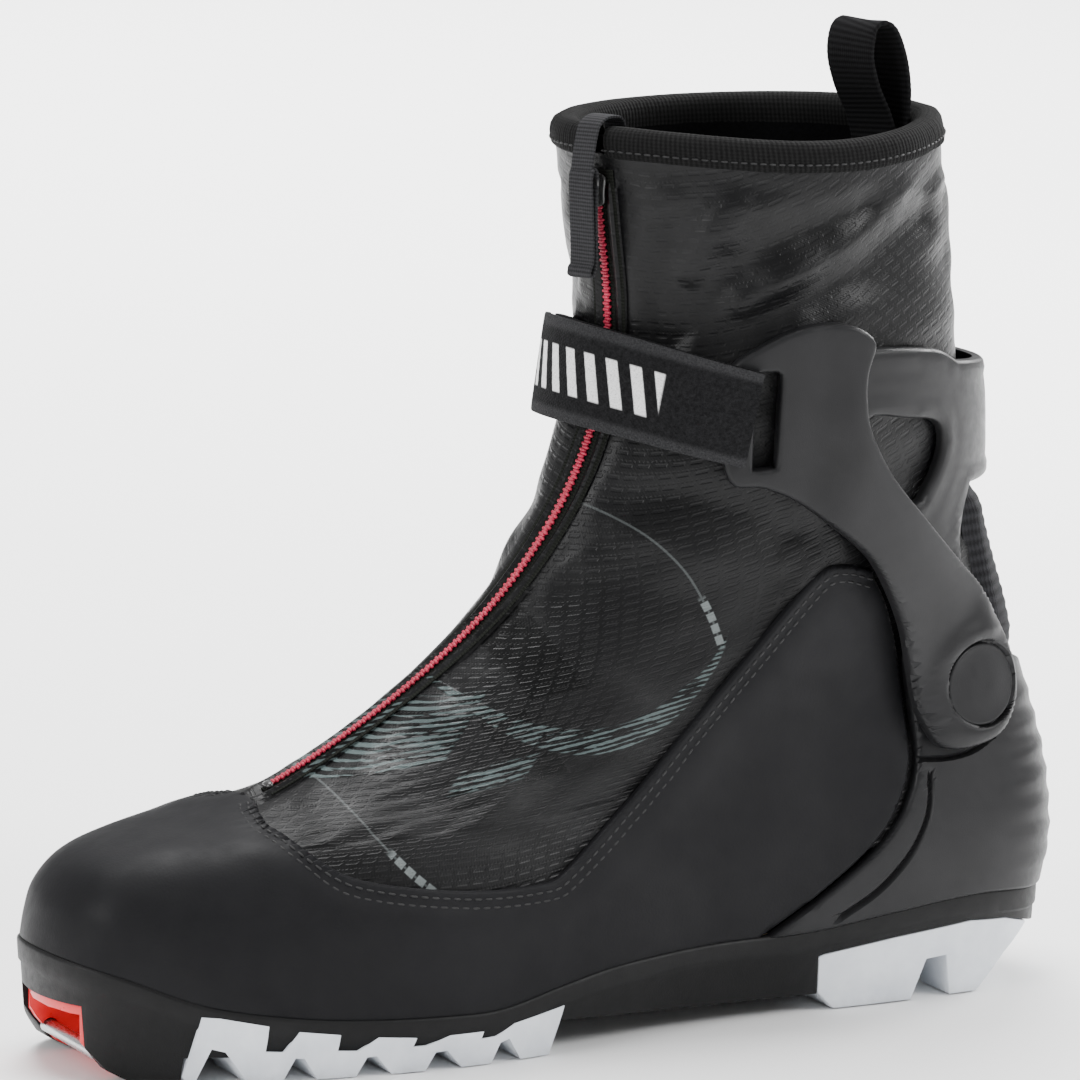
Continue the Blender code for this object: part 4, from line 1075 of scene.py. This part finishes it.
def lip_level(theta, lift=0.0):
    low, high = np.zeros(len(theta)), np.full(len(theta), 2.0)
    for _ in range(24):
        level = (low + high) / 2
        p = bare_skin(theta, level)
        below = p[:, 2] < LIP(p[:, 0]) + lift
        low, high = np.where(below, level, low), np.where(below, high, level)
    return level


OVERLAY_OUT = 2.2


def seam_side():
    front = np.array([(0.18, 5.82), (0.36, 5.5)])
    return np.vstack([front, locate(rounded(SEAM, 2.2, closed=False), OVERLAY_OUT)])


def make_rand():
    seam = seam_side()
    back = locate(rounded(RAND_BACK, 2.2, closed=False), OVERLAY_OUT)[1:]
    reach = locate([(46, 26)], OVERLAY_OUT)[0, 0]
    bottom = np.linspace(reach, -reach, 150)
    foot = np.stack([bottom, lip_level(bottom, -0.6)], -1)
    lateral = np.vstack([even_places(seam, 2.2), back])
    medial = lateral[::-1] * (-1, 1)
    outline = np.vstack([[(0.0, 5.92)], lateral, foot, medial])

    def relief(base, theta, level, rim):
        seam_lines = [skin(*places.T, OVERLAY_OUT) for places in (seam, seam * (-1, 1))]
        seam_far = np.minimum(*(distance_to(base, line) for line in seam_lines))
        swell = 0.35 * np.exp(-((seam_far - 9.5) / 4.0) ** 2)
        gutter = -0.4 * np.exp(-((seam_far - 3.4) / 1.5) ** 2)
        return swell + gutter + 0.22 * waves(base, 42, 11) * ease(rim, 2, 14)

    rand = plate(
        "toe_rand", outline, constant(-0.3, OVERLAY_OUT), OVERLAY,
        edge=1.15, spacing=2.3, scale=(100, 14), relief=relief,
    )
    settle(rand, "boot", "overlay", "toe_rand")
    rows = []
    for side in (1, -1):
        for n, inset in enumerate((2.3, 4.5)):
            way = 1 if side == 1 else -1
            line = offset(even_places(seam * (side, 1), 2.0), way * -inset, closed=False)
            rows.append(stitches(f"rand_stitch_{side}_{n}", line, OVERLAY_OUT - 0.25, THREAD, 3.0, 2.1, 0.7))
    settle(join("rand_stitching", rows), "boot", "overlay")


def even_places(places, step):
    """Places moved to about a step of mm apart along the line that they make on the skin."""
    far = np.concatenate([[0], np.cumsum(np.linalg.norm(np.diff(skin(*places.T), axis=0), axis=1))])
    count = max(3, round(far[-1] / step) + 1)
    at = np.linspace(0, far[-1], count)
    return np.stack([np.interp(at, far, column) for column in places.T], -1)


def across_back(place, back_level, count=20):
    t = np.arange(1, count) / count
    return np.stack(
        [place[0] + (math.pi - place[0]) * t, place[1] + (back_level - place[1]) * np.sin(t * math.pi / 2)], -1
    )


def mirrored(half, *middle):
    """Whole outline from the lateral half that runs to the back line, its medial half mirrored."""
    other = half[::-1] * (-1, 1) + (FULL_TURN, 0)
    return np.vstack([half] + [np.array([m]) for m in middle] + [other])


def both_sides(points, height, closed=False, step=1.6):
    """Places of a side line on each side, as angles from 0 to a full turn."""
    places = locate(rounded(points, step, closed=closed), height)
    return [places, places * (-1, 1) + (FULL_TURN, 0)]


COUNTER_OUT = 3.3
POCKET = ((94.5, 67.4), (99, 66.9), (106, 66.6), (114, 67.6), (122, 71), (128, 77.5), (130.4, 86), (130, 93))
FRONT_GROOVE = ((99, 62.5), (98.6, 57), (96.6, 50), (91, 41.2), (81.5, 32.4), (71, 26.5))


def make_counter():
    front = np.array([(x + COUNTER_SHIFT, z) for x, z in RAND_BACK[2:]])
    front = locate(rounded(front, 2.2, closed=False), COUNTER_OUT)
    top = locate(rounded(COUNTER_TOP, 2.2, closed=False), COUNTER_OUT)
    top = np.vstack([top, across_back(top[-1], COUNTER_BACK_TOP)])
    reach = locate([(49, 26)], COUNTER_OUT)[0, 0]
    bottom = np.linspace(reach, math.pi, 60)
    foot = np.stack([bottom, lip_level(bottom, -0.6)], -1)
    half = np.vstack([foot[:-1][::-1], front[::-1], top])
    outline = mirrored(half, (math.pi, COUNTER_BACK_TOP))
    outline = np.vstack([outline, foot[-1:]])
    creases = []
    for path in both_sides(POCKET, COUNTER_OUT):
        creases += [(path, 1.0, 1.6)]
    creases += [(path, 1.15, 1.7) for path in both_sides(FRONT_GROOVE, COUNTER_OUT)]

    def relief(base, theta, level, rim):
        back = 1 - ease(np.abs(theta - math.pi), 0.42, 0.62)
        ribs = (0.5 + 0.5 * np.cos((base[:, 2] - 34.5) * FULL_TURN / 7.4)) ** 1.4
        high = ease(base[:, 2], 31, 35) * (1 - ease(base[:, 2], 78, 84))
        return 0.55 * back * ribs * high

    counter = plate(
        "heel_counter", outline, constant(-0.3, COUNTER_OUT), CUFF, (), creases,
        edge=1.2, spacing=1.9, scale=(85, 12.5), relief=relief,
    )
    settle(counter, "boot", "cuff_plastic", "heel_counter")


def arm_layer(theta, level):
    gap = ARM_HEAD_GAP + (ARM_GAP - ARM_HEAD_GAP) * ease(side_angle(theta), 1.45, 1.7)
    return gap, gap + ARM_THICKNESS


ARM_SPINE = ((110, 99), (106, 110), (97, 123), (86, 136), (76, 150), (66, 163))


def make_arm(prefix, side, holes):
    outline = locate(rounded(ARM_OUTLINE, 2.0), ARM_GAP + 2, side)
    openings = []
    for hole in holes:
        corners = rounded(hole, 2.0) if len(hole) > 4 else hole
        openings.append(locate(even(corners, 1.5, True), ARM_HEAD_GAP + 2, side))
    dish = circle(12.4, ARM_GAP, side)
    dish_line = np.vstack([dish, dish[:1]])
    middle = skin(*circle(0.01, ARM_GAP, side, sides=3).T, ARM_GAP + ARM_THICKNESS).mean(0)
    spine = locate(rounded(ARM_SPINE, 3, closed=False), ARM_GAP + 2, side)
    ridge = skin(*spine.T, ARM_GAP + ARM_THICKNESS)
    boss = locate([(116.2, 103.5)], ARM_GAP + 2, side)
    boss_at = skin(*boss.T, ARM_GAP + ARM_THICKNESS)[0]

    def relief(base, theta, level, rim):
        far = np.linalg.norm(base - middle, axis=1)
        lift = 1.3 * np.exp(-(((far - 14.2) / 3.2) ** 2)) * ease(rim, 0, 3.5)
        lift += 0.9 * np.exp(-((distance_to(base, ridge) / 8.5) ** 2)) * ease(rim, 0, 6)
        lift += 1.2 * np.exp(-((np.linalg.norm(base - boss_at, axis=1) / 6.0) ** 2)) * ease(rim, 0.5, 4)
        return lift - 2.0 * (1 - ease(far, 11.7, 12.3))

    arm = plate(
        f"{prefix}_cuff_arm", outline, arm_layer, CUFF, openings, [(dish_line, 0.5, 0.0)], edge=1.5, spacing=2.1,
        scale=(52, 17), relief=relief,
    )
    settle(arm, "cuff", "cuff_plastic", f"{prefix}_cuff_arm")
    base = ARM_GAP + 1.5
    ring = circle(10.4, ARM_GAP, side)
    cap = plate(
        f"{prefix}_pivot_cap", circle(11.4, ARM_GAP, side), constant(base, base + 2.6), CUFF,
        creases=[(np.vstack([ring, ring[:1]]), 0.6, 0.0)], edge=0.8, spacing=1.6, scale=(75, 11),
        relief=lambda p, t, v, rim: 0.5 * ease(rim, 0.5, 9),
    )
    settle(cap, "cuff", "cuff_plastic", f"{prefix}_pivot_cap")


def spoiler_layer(theta, level):
    back_gap = SPOILER_FOOT_GAP + (SPOILER_BACK_GAP - SPOILER_FOOT_GAP) * ease(level, 9.8, 11.6)
    gap = SPOILER_SIDE_GAP + (back_gap - SPOILER_SIDE_GAP) * ease(side_angle(theta), 2.1, 2.9)
    return gap, gap + SPOILER_THICKNESS


def make_spoiler():
    height = SPOILER_SIDE_GAP + SPOILER_THICKNESS
    half = locate(rounded(SPOILER_FRONT[::-1] + SPOILER_HIDDEN[::-1] + SPOILER_SIDE, 2.4, closed=False), height)
    half = np.vstack([across_back(half[0], SPOILER_BACK_LOW)[::-1], half, across_back(half[-1], SPOILER_BACK_TOP)])
    outline = np.vstack([mirrored(half, (math.pi, SPOILER_BACK_TOP)), [(math.pi, SPOILER_BACK_LOW)]])
    holes = both_sides(WINDOW, height, closed=True, step=2.0)

    def relief(base, theta, level, rim):
        return 0.7 * np.exp(-((rim - 2.6) / 1.6) ** 2) + 0.3 * ease(rim, 3, 9)

    spoiler = plate(
        "rear_cuff_spoiler", outline, spoiler_layer, CUFF, holes, edge=1.3, spacing=2.2, scale=(48, 17), relief=relief
    )
    settle(spoiler, "cuff", "cuff_plastic", "rear_cuff_spoiler")


def make_achilles():
    """Ribbed stretch panel over the tendon."""
    rows, columns = 60, 40
    across = np.linspace(math.pi - 0.55, math.pi + 0.55, columns)
    theta, level = np.meshgrid(across, np.linspace(5.1, 10.15, rows), indexing="ij")
    theta, level = theta.ravel(), level.ravel()
    side = ease(np.abs(theta - math.pi), 0.55, 0.42)
    end = ease(level, 5.2, 6.4) * ease(level, 10.1, 9.3)
    base = skin(theta, level)
    ribs = 0.16 * np.sin(base[:, 2] * FULL_TURN / 3.4)
    outer = -0.5 + side * end * (3.6 + ribs)
    panel = two_sided(
        "achilles_rib_panel", skin(theta, level, outer), skin(theta, level, -0.9), grid_faces(columns, rows), RIB
    )
    flat = np.stack([base[:, 2], theta * 40], -1)
    set_uv(panel, np.vstack([flat, flat]))
    settle(panel, None, "rib_panel", "achilles_flex_panel")
    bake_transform(panel)


# ---------------------------------------------------------------- zip

def make_zip():
    low, high = 6.12, 14.72
    line = even_places(zip_line(low, high, 0.02), 1.0)
    theta, level = line.T
    around, up, normal = directions(theta, level)
    centre = skin(theta, level, -0.2)
    way = unit(np.gradient(centre, axis=0))
    across = unit(np.cross(normal, way))
    tape = sweep("zip_tape", centre, across, normal, oblong(11, 0.7, 20), TAPE)
    settle(tape, None, "zip_tape", "zip_tape_lower", "zip_tape_upper")
    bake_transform(tape)
    spots = even_places(zip_line(6.18, 14.66, 0.02), 0.85)
    theta, level = spots.T
    _, _, normal = directions(theta, level)
    path = skin(theta, level, 0.75)
    way = unit(np.gradient(path, axis=0))
    across = unit(np.cross(normal, way))
    side = np.where(np.arange(len(path)) % 2 == 0, 1.0, -1.0)[:, None]
    teeth = beads("zip_teeth", path + across * side * 0.28, across, normal, (2.3, 1.05, 1.2), COIL, 5, 8)
    settle(teeth, None, "zip_coil", "zip_coil_lower", "zip_ankle_section", "zip_coil_upper")
    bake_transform(teeth)
    stop = beads("zip_bottom_stop", path[:1], across[:1], normal[:1], (4.4, 2.6, 2.0), ENAMEL)
    settle(stop, "boot", "slider_metal")


def make_slider():
    """Slider body, bail and the ribbon tab, drawn round the CAD pieces' own boxes."""
    low, high = (np.array(corner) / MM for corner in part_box("zip_slider"))
    centre = (low + high) / 2
    level = float(locate([(centre[0] + 1.6, centre[2])])[0, 1])
    theta = float(zip_theta(level))
    _, up, normal = directions(np.array([theta]), np.array([level]))
    up, normal = unit(up)[0], normal[0]
    across = np.cross(normal, up)
    seat = skin(theta, level, 0.0)
    span = np.linspace(-4.6, 4.6, 24)
    width = 6.6 + 2.6 * ease(span, -2, 4.6)
    pieces = []
    for name, height, thick in (("wing_low", 1.6, 1.1), ("wing_high", 4.2, 1.3)):
        fade = np.sqrt(np.maximum(0.02, 1 - (np.abs(span) / 4.7) ** 6))
        ring = np.stack([oblong(w * f, thick * (0.4 + 0.6 * f), 24, 3.5) for w, f in zip(width, fade)])
        centres = seat + normal * height + up * span[:, None]
        pieces.append(sweep(name, centres, np.tile(across, (24, 1)), np.tile(normal, (24, 1)), ring, ENAMEL))
    neck = seat + normal * np.linspace(1.4, 4.4, 4)[:, None] + up * 2.4
    pieces.append(sweep("neck", neck, np.tile(across, (4, 1)), np.tile(up, (4, 1)), oblong(2.2, 2.8, 14, 3), ENAMEL))
    arch = np.linspace(0, math.pi, 20)
    bridge = seat + normal * (4.7 + 1.9 * np.sin(arch))[:, None] + up * (3.3 * np.cos(arch))[:, None]
    side, out = frames(bridge, across)
    pieces.append(sweep("bail", bridge, side, out, oblong(2.4, 0.9, 14, 3), ENAMEL))
    settle(join("zip_slider_body", pieces), "zip_slider", "slider_metal", "zip_slider")
    make_pull(across, normal)


def make_pull(across, normal):
    low, high = (np.array(corner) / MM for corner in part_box("zip_puller"))
    top = (low + high) / 2 + (0, 0, 4.0)
    turns = np.linspace(0, FULL_TURN, 41)[:-1]
    eye = top + across * (2.7 * np.cos(turns))[:, None] + np.array((0, 0, 1.0)) * (3.9 * np.sin(turns) - 4.0)[:, None]
    side, out = frames(np.vstack([eye, eye[:1]]), normal)
    puller = sweep("zip_pull_ring", eye, side[:-1], out[:-1], oblong(1.5, 1.3, 12, 2.6), ENAMEL, closed=True)
    settle(puller, "zip_pull", "slider_metal", "zip_puller")
    low, high = (np.array(corner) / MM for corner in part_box("zip_pull_tab"))
    start = top + (0, 0, -6.6) - normal * 1.4
    reach = high[2] - low[2]
    bottom = reach + 1.5
    route = [(-0.6, 6.5), (0.2, 9.4), (1.5, 9.2), (2.0, 6.0), (1.7, -1.0), (1.3, 4.5 - bottom), (2.4, 1.8 - bottom)]
    route += [(2.7, 0.2 - bottom), (1.4, -0.4 - bottom), (0.1, 2.4 - bottom), (0.0, 6.0 - bottom)]
    route += [(0.1, 0.0), (-0.3, 5.0)]
    route = [start + normal * out + (0, 0, rise) for out, rise in route]
    path = even(rounded(route, 0.8, closed=False), 0.6)
    side, out = frames(path, across)
    wave = 1 + 0.02 * np.sin(np.arange(len(path)) * 2.1)
    ring = oblong(8.4, 0.9, 26, 6)[None] * wave[:, None, None]
    tab = sweep("zip_pull_ribbon", path, side, out, ring, TAB)
    settle(tab, "zip_pull", "webbing", "zip_pull_tab")


# Height and level above the rim, from inside the collar to the outside.
RIM_TAB_ROUTE = (
    (-9.2, -0.55), (-9.0, -0.2), (-8.2, 0.05), (-5.5, 0.12), (-2.0, 0.13),
    (1.0, 0.07), (2.6, -0.05), (4.4, -0.25), (6.2, -0.5),
)


def make_rim_tab():
    """Ribbon sewn inside the collar and folded over the rim, down over the top of the zip."""
    theta = zip_theta(15.0)
    path = np.array([skin(theta, rim_level(0.0) + level, height) for height, level in RIM_TAB_ROUTE])
    path = even(rounded(path, 0.8, closed=False), 0.5)
    around = directions(np.array([theta]), np.array([15.0]))[0][0]
    side, out = frames(path, unit(around))
    tab = sweep("rim_tab_ribbon", path, side, out, oblong(7.6, 0.9, 26, 6), TAB)
    settle(tab, "cuff", "webbing")


# ---------------------------------------------------------------- collar

def make_binding():
    """Bound edge: a tape rolled over the rim, stitched just below it, open at the zip."""
    share = np.linspace(0.085, FULL_TURN - 0.085, 300)
    theta = zip_theta(14.9) + share
    rim = rim_level(share) - 15.03
    ring = []
    for height, level in (
        (-7.2, 14.70), (-7.6, 14.80), (-7.5, 14.92), (-6.6, 15.01), (-4.8, 15.05), (-2.6, 15.06), (-0.8, 15.03),
        (0.3, 14.96), (0.8, 14.88), (0.9, 14.80), (0.7, 14.73), (0.1, 14.70), (-0.6, 14.72), (-3, 14.75),
    ):
        wobble = 0.22 * waves(skin(theta, level), 9, 21) + 0.12 * np.sin(share * 160)
        ring.append(skin(theta, rim + level, height + wobble * (1 if height > -5 else 0.5)))
    points = np.stack(ring, 1)
    count, sides = points.shape[:2]
    i = np.arange(count - 1)[:, None]
    j = np.arange(sides)[None, :]
    m = (j + 1) % sides
    faces = np.stack([i * sides + j, i * sides + m, (i + 1) * sides + m, (i + 1) * sides + j], -1).reshape(-1, 4)
    faces = [tuple(f) for f in faces]
    faces += [tuple(range(sides))[::-1], tuple((count - 1) * sides + k for k in range(sides))]
    obj = new_object("collar_binding_tape", points.reshape(-1, 3), faces, BINDING, 60)
    flat = np.stack(np.broadcast_arrays(share[:, None] * 42, np.arange(sides)[None, :] * 1.5), -1).reshape(-1, 2)
    set_uv(obj, flat)
    settle(obj, "cuff", "binding", "collar_binding")
    line = np.stack([zip_theta(14.5) + share, rim + 14.80], -1)
    settle(stitches("binding_stitching", line, 0.9, THREAD, 2.6, 1.8, 0.55), "cuff", "binding")


def make_loop():
    """Heel pull loop: ribbed webbing sewn inside the back of the collar."""
    path = np.array([(x, -3.0, z) for x, z in rounded(LOOP_ROUTE, 0.6, closed=False)])
    path = even(path, 0.5)
    across, out = frames(path, (-0.25, 1, 0))
    rib = 1 + 0.10 * np.sin(np.arange(len(path)) * 0.5 * FULL_TURN / 1.5)
    flat = oblong(18, 1.6, 36, 8)
    ring = np.stack([flat * (1, r) for r in rib])
    loop = sweep("heel_pull_webbing", path, across, out, ring, WEBBING, sharp=70)
    settle(loop, "cuff", "webbing", "heel_pull_loop")


# ---------------------------------------------------------------- strap

def strap_height(theta):
    rise = ease(side_angle(theta), 0.5, 0.98)
    return STRAP_FRONT_HEIGHT + (STRAP_SIDE_HEIGHT - STRAP_FRONT_HEIGHT) * rise


def strap_level(theta):
    return 11.99 - 0.706 * (1 - np.cos(theta))


BAND_STEPS = 260


def webbing_band(name, start, end, lift, thickness, half, look):
    """Band of webbing round the ankle, from theta start to end."""
    theta = np.linspace(start, end, BAND_STEPS)
    level = strap_level(theta)
    _, up, normal = directions(theta, level)
    length = np.linalg.norm(up, axis=1)
    centre = skin(theta, level, strap_height(theta) + lift + thickness / 2)
    rib = 1 + 0.05 * np.sin(np.arange(BAND_STEPS) * 1.9)
    rings = [oblong(2 * half * length[k], thickness * rib[k], 40, 9) for k in range(BAND_STEPS)]
    return sweep(name, centre, unit(up), normal, np.stack(rings), look, sharp=70)


def make_strap():
    base = webbing_band("strap_base_webbing", STRAP_SLOT_ANGLE, STRAP_MEDIAL_ANGLE, 0.0, 1.5, STRAP_HALF_WIDTH, WEBBING)
    settle(base, "cuff", "webbing", "strap_base")
    patch = webbing_band("strap_hook_patch_tape", 0.35, -0.35, 1.75, 0.6, 0.5, HOOK)
    settle(patch, "strap_flap", "hook_tape", "strap_hook_patch")
    flap = webbing_band("strap_flap_webbing", STRAP_SLOT_ANGLE, -0.45, 2.7, 1.6, STRAP_HALF_WIDTH, STRAP)
    settle(flap, "strap_flap", "strap_webbing", "strap_flap")


# ---------------------------------------------------------------- sole

def sole_outline(height, count=300):
    theta = FULL_TURN * (np.arange(count) + 0.5) / count
    p = bare_skin(theta, np.zeros(count))
    q = bare_skin(theta + 0.02, np.zeros(count)) - bare_skin(theta - 0.02, np.zeros(count))
    out = unit(np.stack([q[:, 1], -q[:, 0], np.zeros(count)], -1))
    p = p + out * height
    p[:, 2] = 0
    return p


def stack(name, rings, look):
    """Solid from rings of equal count, one above the other, closed below and above by strips across."""
    count = len(rings[0])
    faces = []
    for level in range(len(rings) - 1):
        base = level * count
        for k in range(count):
            after = (k + 1) % count
            faces.append((base + k, base + after, base + count + after, base + count + k))
    for base in (0, (len(rings) - 1) * count):
        faces.append((base, base + 1, base + count - 2, base + count - 1))
        for k in range(1, count // 2 - 1):
            faces.append((base + k, base + k + 1, base + count - 2 - k, base + count - 1 - k))
    return new_object(name, np.vstack(rings), faces, look)


def raised(outline, z):
    return np.stack([outline[:, 0], outline[:, 1], np.broadcast_to(z, len(outline))], -1)


def at_lip(outline, depth):
    return raised(outline, LIP(outline[:, 0]) - depth)


def prism(outline, low, high):
    """Block of a side outline between two values of y, used only to cut."""
    outline = np.array(outline, float)
    count = len(outline)
    points = np.vstack([np.insert(outline, 1, low, 1), np.insert(outline, 1, high, 1)])
    faces = [tuple(range(count)), tuple(range(2 * count - 1, count - 1, -1))]
    faces += [(k, (k + 1) % count, (k + 1) % count + count, k + count) for k in range(count)]
    return new_object("cutter", points, faces, SOLE)


def block(low, high):
    (x0, y0, z0), (x1, y1, z1) = low, high
    return prism(((x0, z0), (x1, z0), (x1, z1), (x0, z1)), y0, y1)


def apply_all(obj):
    bpy.context.view_layer.update()
    graph = bpy.context.evaluated_depsgraph_get()
    mesh = bpy.data.meshes.new_from_object(obj.evaluated_get(graph))
    obj.modifiers.clear()
    obj.data = mesh
    return obj


def cut(obj, other, operation="DIFFERENCE"):
    change = obj.modifiers.new("cut", "BOOLEAN")
    change.operation, change.object, change.solver = operation, other, "EXACT"
    apply_all(obj)
    bpy.data.objects.remove(other)
    return obj


def soften(obj, width, segments=3, angle=32):
    """Rounded edges on a cut block."""
    work = bmesh.new()
    work.from_mesh(obj.data)
    bmesh.ops.remove_doubles(work, verts=work.verts, dist=1e-6)
    bmesh.ops.dissolve_limit(work, angle_limit=math.radians(0.6), verts=work.verts, edges=work.edges)
    work.to_mesh(obj.data)
    work.free()
    bevel = obj.modifiers.new("bevel", "BEVEL")
    bevel.width, bevel.segments = width * MM, segments
    bevel.limit_method, bevel.angle_limit = "ANGLE", math.radians(angle)
    apply_all(obj)
    obj.data.shade_smooth()
    obj.data.set_sharp_from_angle(angle=math.radians(40))
    return obj


# How far in from the lip's outer edge, and how far below its top.
LIP_PROFILE = ((0.9, 7.2), (0.25, 6.4), (0.1, 4.0), (0.0, 1.3), (0.12, 0.7), (0.45, 0.25), (1.0, 0.05), (1.5, 0.0))


def make_chassis():
    rings = [raised(sole_outline(-0.6), 0.3), raised(sole_outline(0.4), 1.4)]
    rings += [at_lip(sole_outline(LIP_OUTER - inset), depth) for inset, depth in LIP_PROFILE]
    chassis = stack("outsole_chassis_body", rings, SOLE)
    tray = stack("tray", [at_lip(sole_outline(LIP_INNER), FLOOR_DEPTH), at_lip(sole_outline(LIP_INNER), -10.0)], SOLE)
    cut(chassis, tray)
    for outline in (TOE_CUT, UNDERSIDE):
        cut(chassis, prism(outline, -80, 80))
    cut(chassis, block((-170, -17.5, -5), (-128, 17.5, 20)))
    soften(chassis, 0.45, 2, 36)
    settle(chassis, "boot", "sole_plastic", "outsole_chassis")


def grooved(tread, low_x, high_x, depth):
    for side in (-1, 1):
        y = sorted((side * 8.5, side * 18.0))
        cut(tread, block((low_x, y[0], -5), (high_x, y[1], depth)))


def make_treads():
    rings = [raised(sole_outline(0.6), -1.0)]
    rings += [at_lip(sole_outline(LIP_OUTER + out), depth) for out, depth in ((0.1, 6.4), (0.35, 0.5))]
    tread = stack("tread", rings, TREAD)
    cut(tread, prism(FOREFOOT_SIDE, -80, 80), "INTERSECT")
    core = stack("core", [raised(sole_outline(-2.6), 6.9), raised(sole_outline(-2.6), 40.0)], TREAD)
    cut(tread, core)
    grooved(tread, -135, -15, 4.6)
    soften(tread, 0.5, 2)
    tread.name = "forefoot_tread_rubber"
    settle(tread, "boot", "tread_rubber", *(f"forefoot_tread_{column}" for column in ("lateral", "middle", "medial")))
    heel = stack("heel", [raised(sole_outline(0.4), -1.0), raised(sole_outline(1.9), 24.0)], TREAD)
    cut(heel, prism(HEEL_BLOCK, -80, 80), "INTERSECT")
    grooved(heel, 55, 160, 7.0)
    soften(heel, 0.6, 3)
    heel.name = "heel_tread_rubber"
    settle(heel, "boot", "tread_rubber", "heel_tread")


def make_footbed():
    """Moulded footbed with a heel cup and arch, under a thin cloth."""
    outline = sole_outline(-8.4, 200)
    rings = [at_lip(outline, FLOOR_DEPTH - FOOTBED[0])]
    for inset, rise in ((0.0, 0.8), (-0.8, 1.3), (-2.0, 1.2), (-5, 0.5), (-9, 0.0)):
        rings.append(at_lip(sole_outline(-8.4 + inset, 200), FLOOR_DEPTH - (FOOTBED[1] + rise)))
    bed = stack("footbed_foam", rings, FOAM)
    settle(bed, "boot", "footbed_foam", "footbed")


# ---------------------------------------------------------------- carried-over CAD pieces

def keep(node, look, bevel=0.3):
    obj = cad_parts[node]
    obj.data.materials.clear()
    obj.data.materials.append(look)
    if bevel:
        weld = obj.modifiers.new("weld", "WELD")
        weld.merge_threshold = 1e-6
        change = obj.modifiers.new("bevel", "BEVEL")
        change.width, change.segments = bevel * MM, 3
        change.limit_method, change.angle_limit = "ANGLE", math.radians(40)
    obj.data.shade_smooth()


def keep_cad_pieces():
    keep("toe_insert", RED, 0.4)
    keep("toe_bar", STEEL, 0.3)
    keep("steel_shank", STEEL, 0.2)
    keep("lasting_board", BOARD, 0.3)
    keep("tongue", FLEECE, 0.5)
    keep("lateral_pivot_post", STEEL, 0.3)
    keep("medial_pivot_post", STEEL, 0.3)
    keep("strap_rivet", STEEL, 0.5)


# ---------------------------------------------------------------- studio

def make_studio():
    bpy.ops.mesh.primitive_plane_add(size=8, location=(0, 0, -0.0004))
    floor = bpy.context.object
    floor.name = "studio_floor"
    floor.data.materials.append(FLOOR)
    world = bpy.data.worlds.new("studio")
    bpy.context.scene.world = world
    world.use_nodes = True
    world.node_tree.nodes["Background"].inputs[0].default_value = (1, 1, 1, 1)
    world.node_tree.nodes["Background"].inputs[1].default_value = 0.66
    target = Vector((0, 0, 0.12))
    for name, place, size, power in (
        ("key", (1.2, -1.3, 1.2), 0.8, 30),
        ("fill", (-1.8, -0.4, 0.9), 0.8, 22),
        ("rim", (1.5, 0.5, 0.9), 0.7, 30),
        ("top", (0.0, 0.5, 2.0), 1.2, 52),
    ):
        data = bpy.data.lights.new(name, "AREA")
        data.shape, data.size, data.energy = "DISK", size, power
        lamp = bpy.data.objects.new(name, data)
        lamp.location = place
        lamp.rotation_euler = (target - Vector(place)).to_track_quat("-Z", "Y").to_euler()
        bpy.context.scene.collection.objects.link(lamp)
    data = bpy.data.lights.new("floor_wash", "AREA")
    data.shape, data.size, data.energy = "DISK", 2.2, 230
    lamp = bpy.data.objects.new("floor_wash", data)
    lamp.location = (0.9, 2.2, 1.9)
    lamp.visible_glossy = False
    bpy.context.scene.collection.objects.link(lamp)


CAMERA_AZIMUTH = math.radians(-26.0)
CAMERA_ELEVATION = math.radians(10.6)
CAMERA_DISTANCE = 2.0


def make_camera():
    data = bpy.data.cameras.new("camera")
    data.sensor_width = 36
    data.lens = 36 * 3.7 * CAMERA_DISTANCE * 1000 / 1080
    data.shift_x, data.shift_y = -8 / 1080, 36 / 1080
    data.clip_end = 50
    camera = bpy.data.objects.new("camera", data)
    bpy.context.scene.collection.objects.link(camera)
    a, e = CAMERA_AZIMUTH, CAMERA_ELEVATION
    back = Vector((math.sin(a) * math.cos(e), -math.cos(a) * math.cos(e), math.sin(e)))
    camera.location = Vector((0, 0, 0.12)) + back * CAMERA_DISTANCE
    camera.rotation_euler = (-back).to_track_quat("-Z", "Y").to_euler()
    bpy.context.scene.camera = camera


make_camera()
make_studio()
make_softshell()
make_lining()
make_rand()
make_counter()
for prefix, side, holes in (("lateral", 1, [STRAP_SLOT]), ("medial", -1, [])):
    make_arm(prefix, side, holes)
make_spoiler()
make_achilles()
make_zip()
make_slider()
make_binding()
make_rim_tab()
make_loop()
make_strap()
make_chassis()
make_treads()
make_footbed()
keep_cad_pieces()
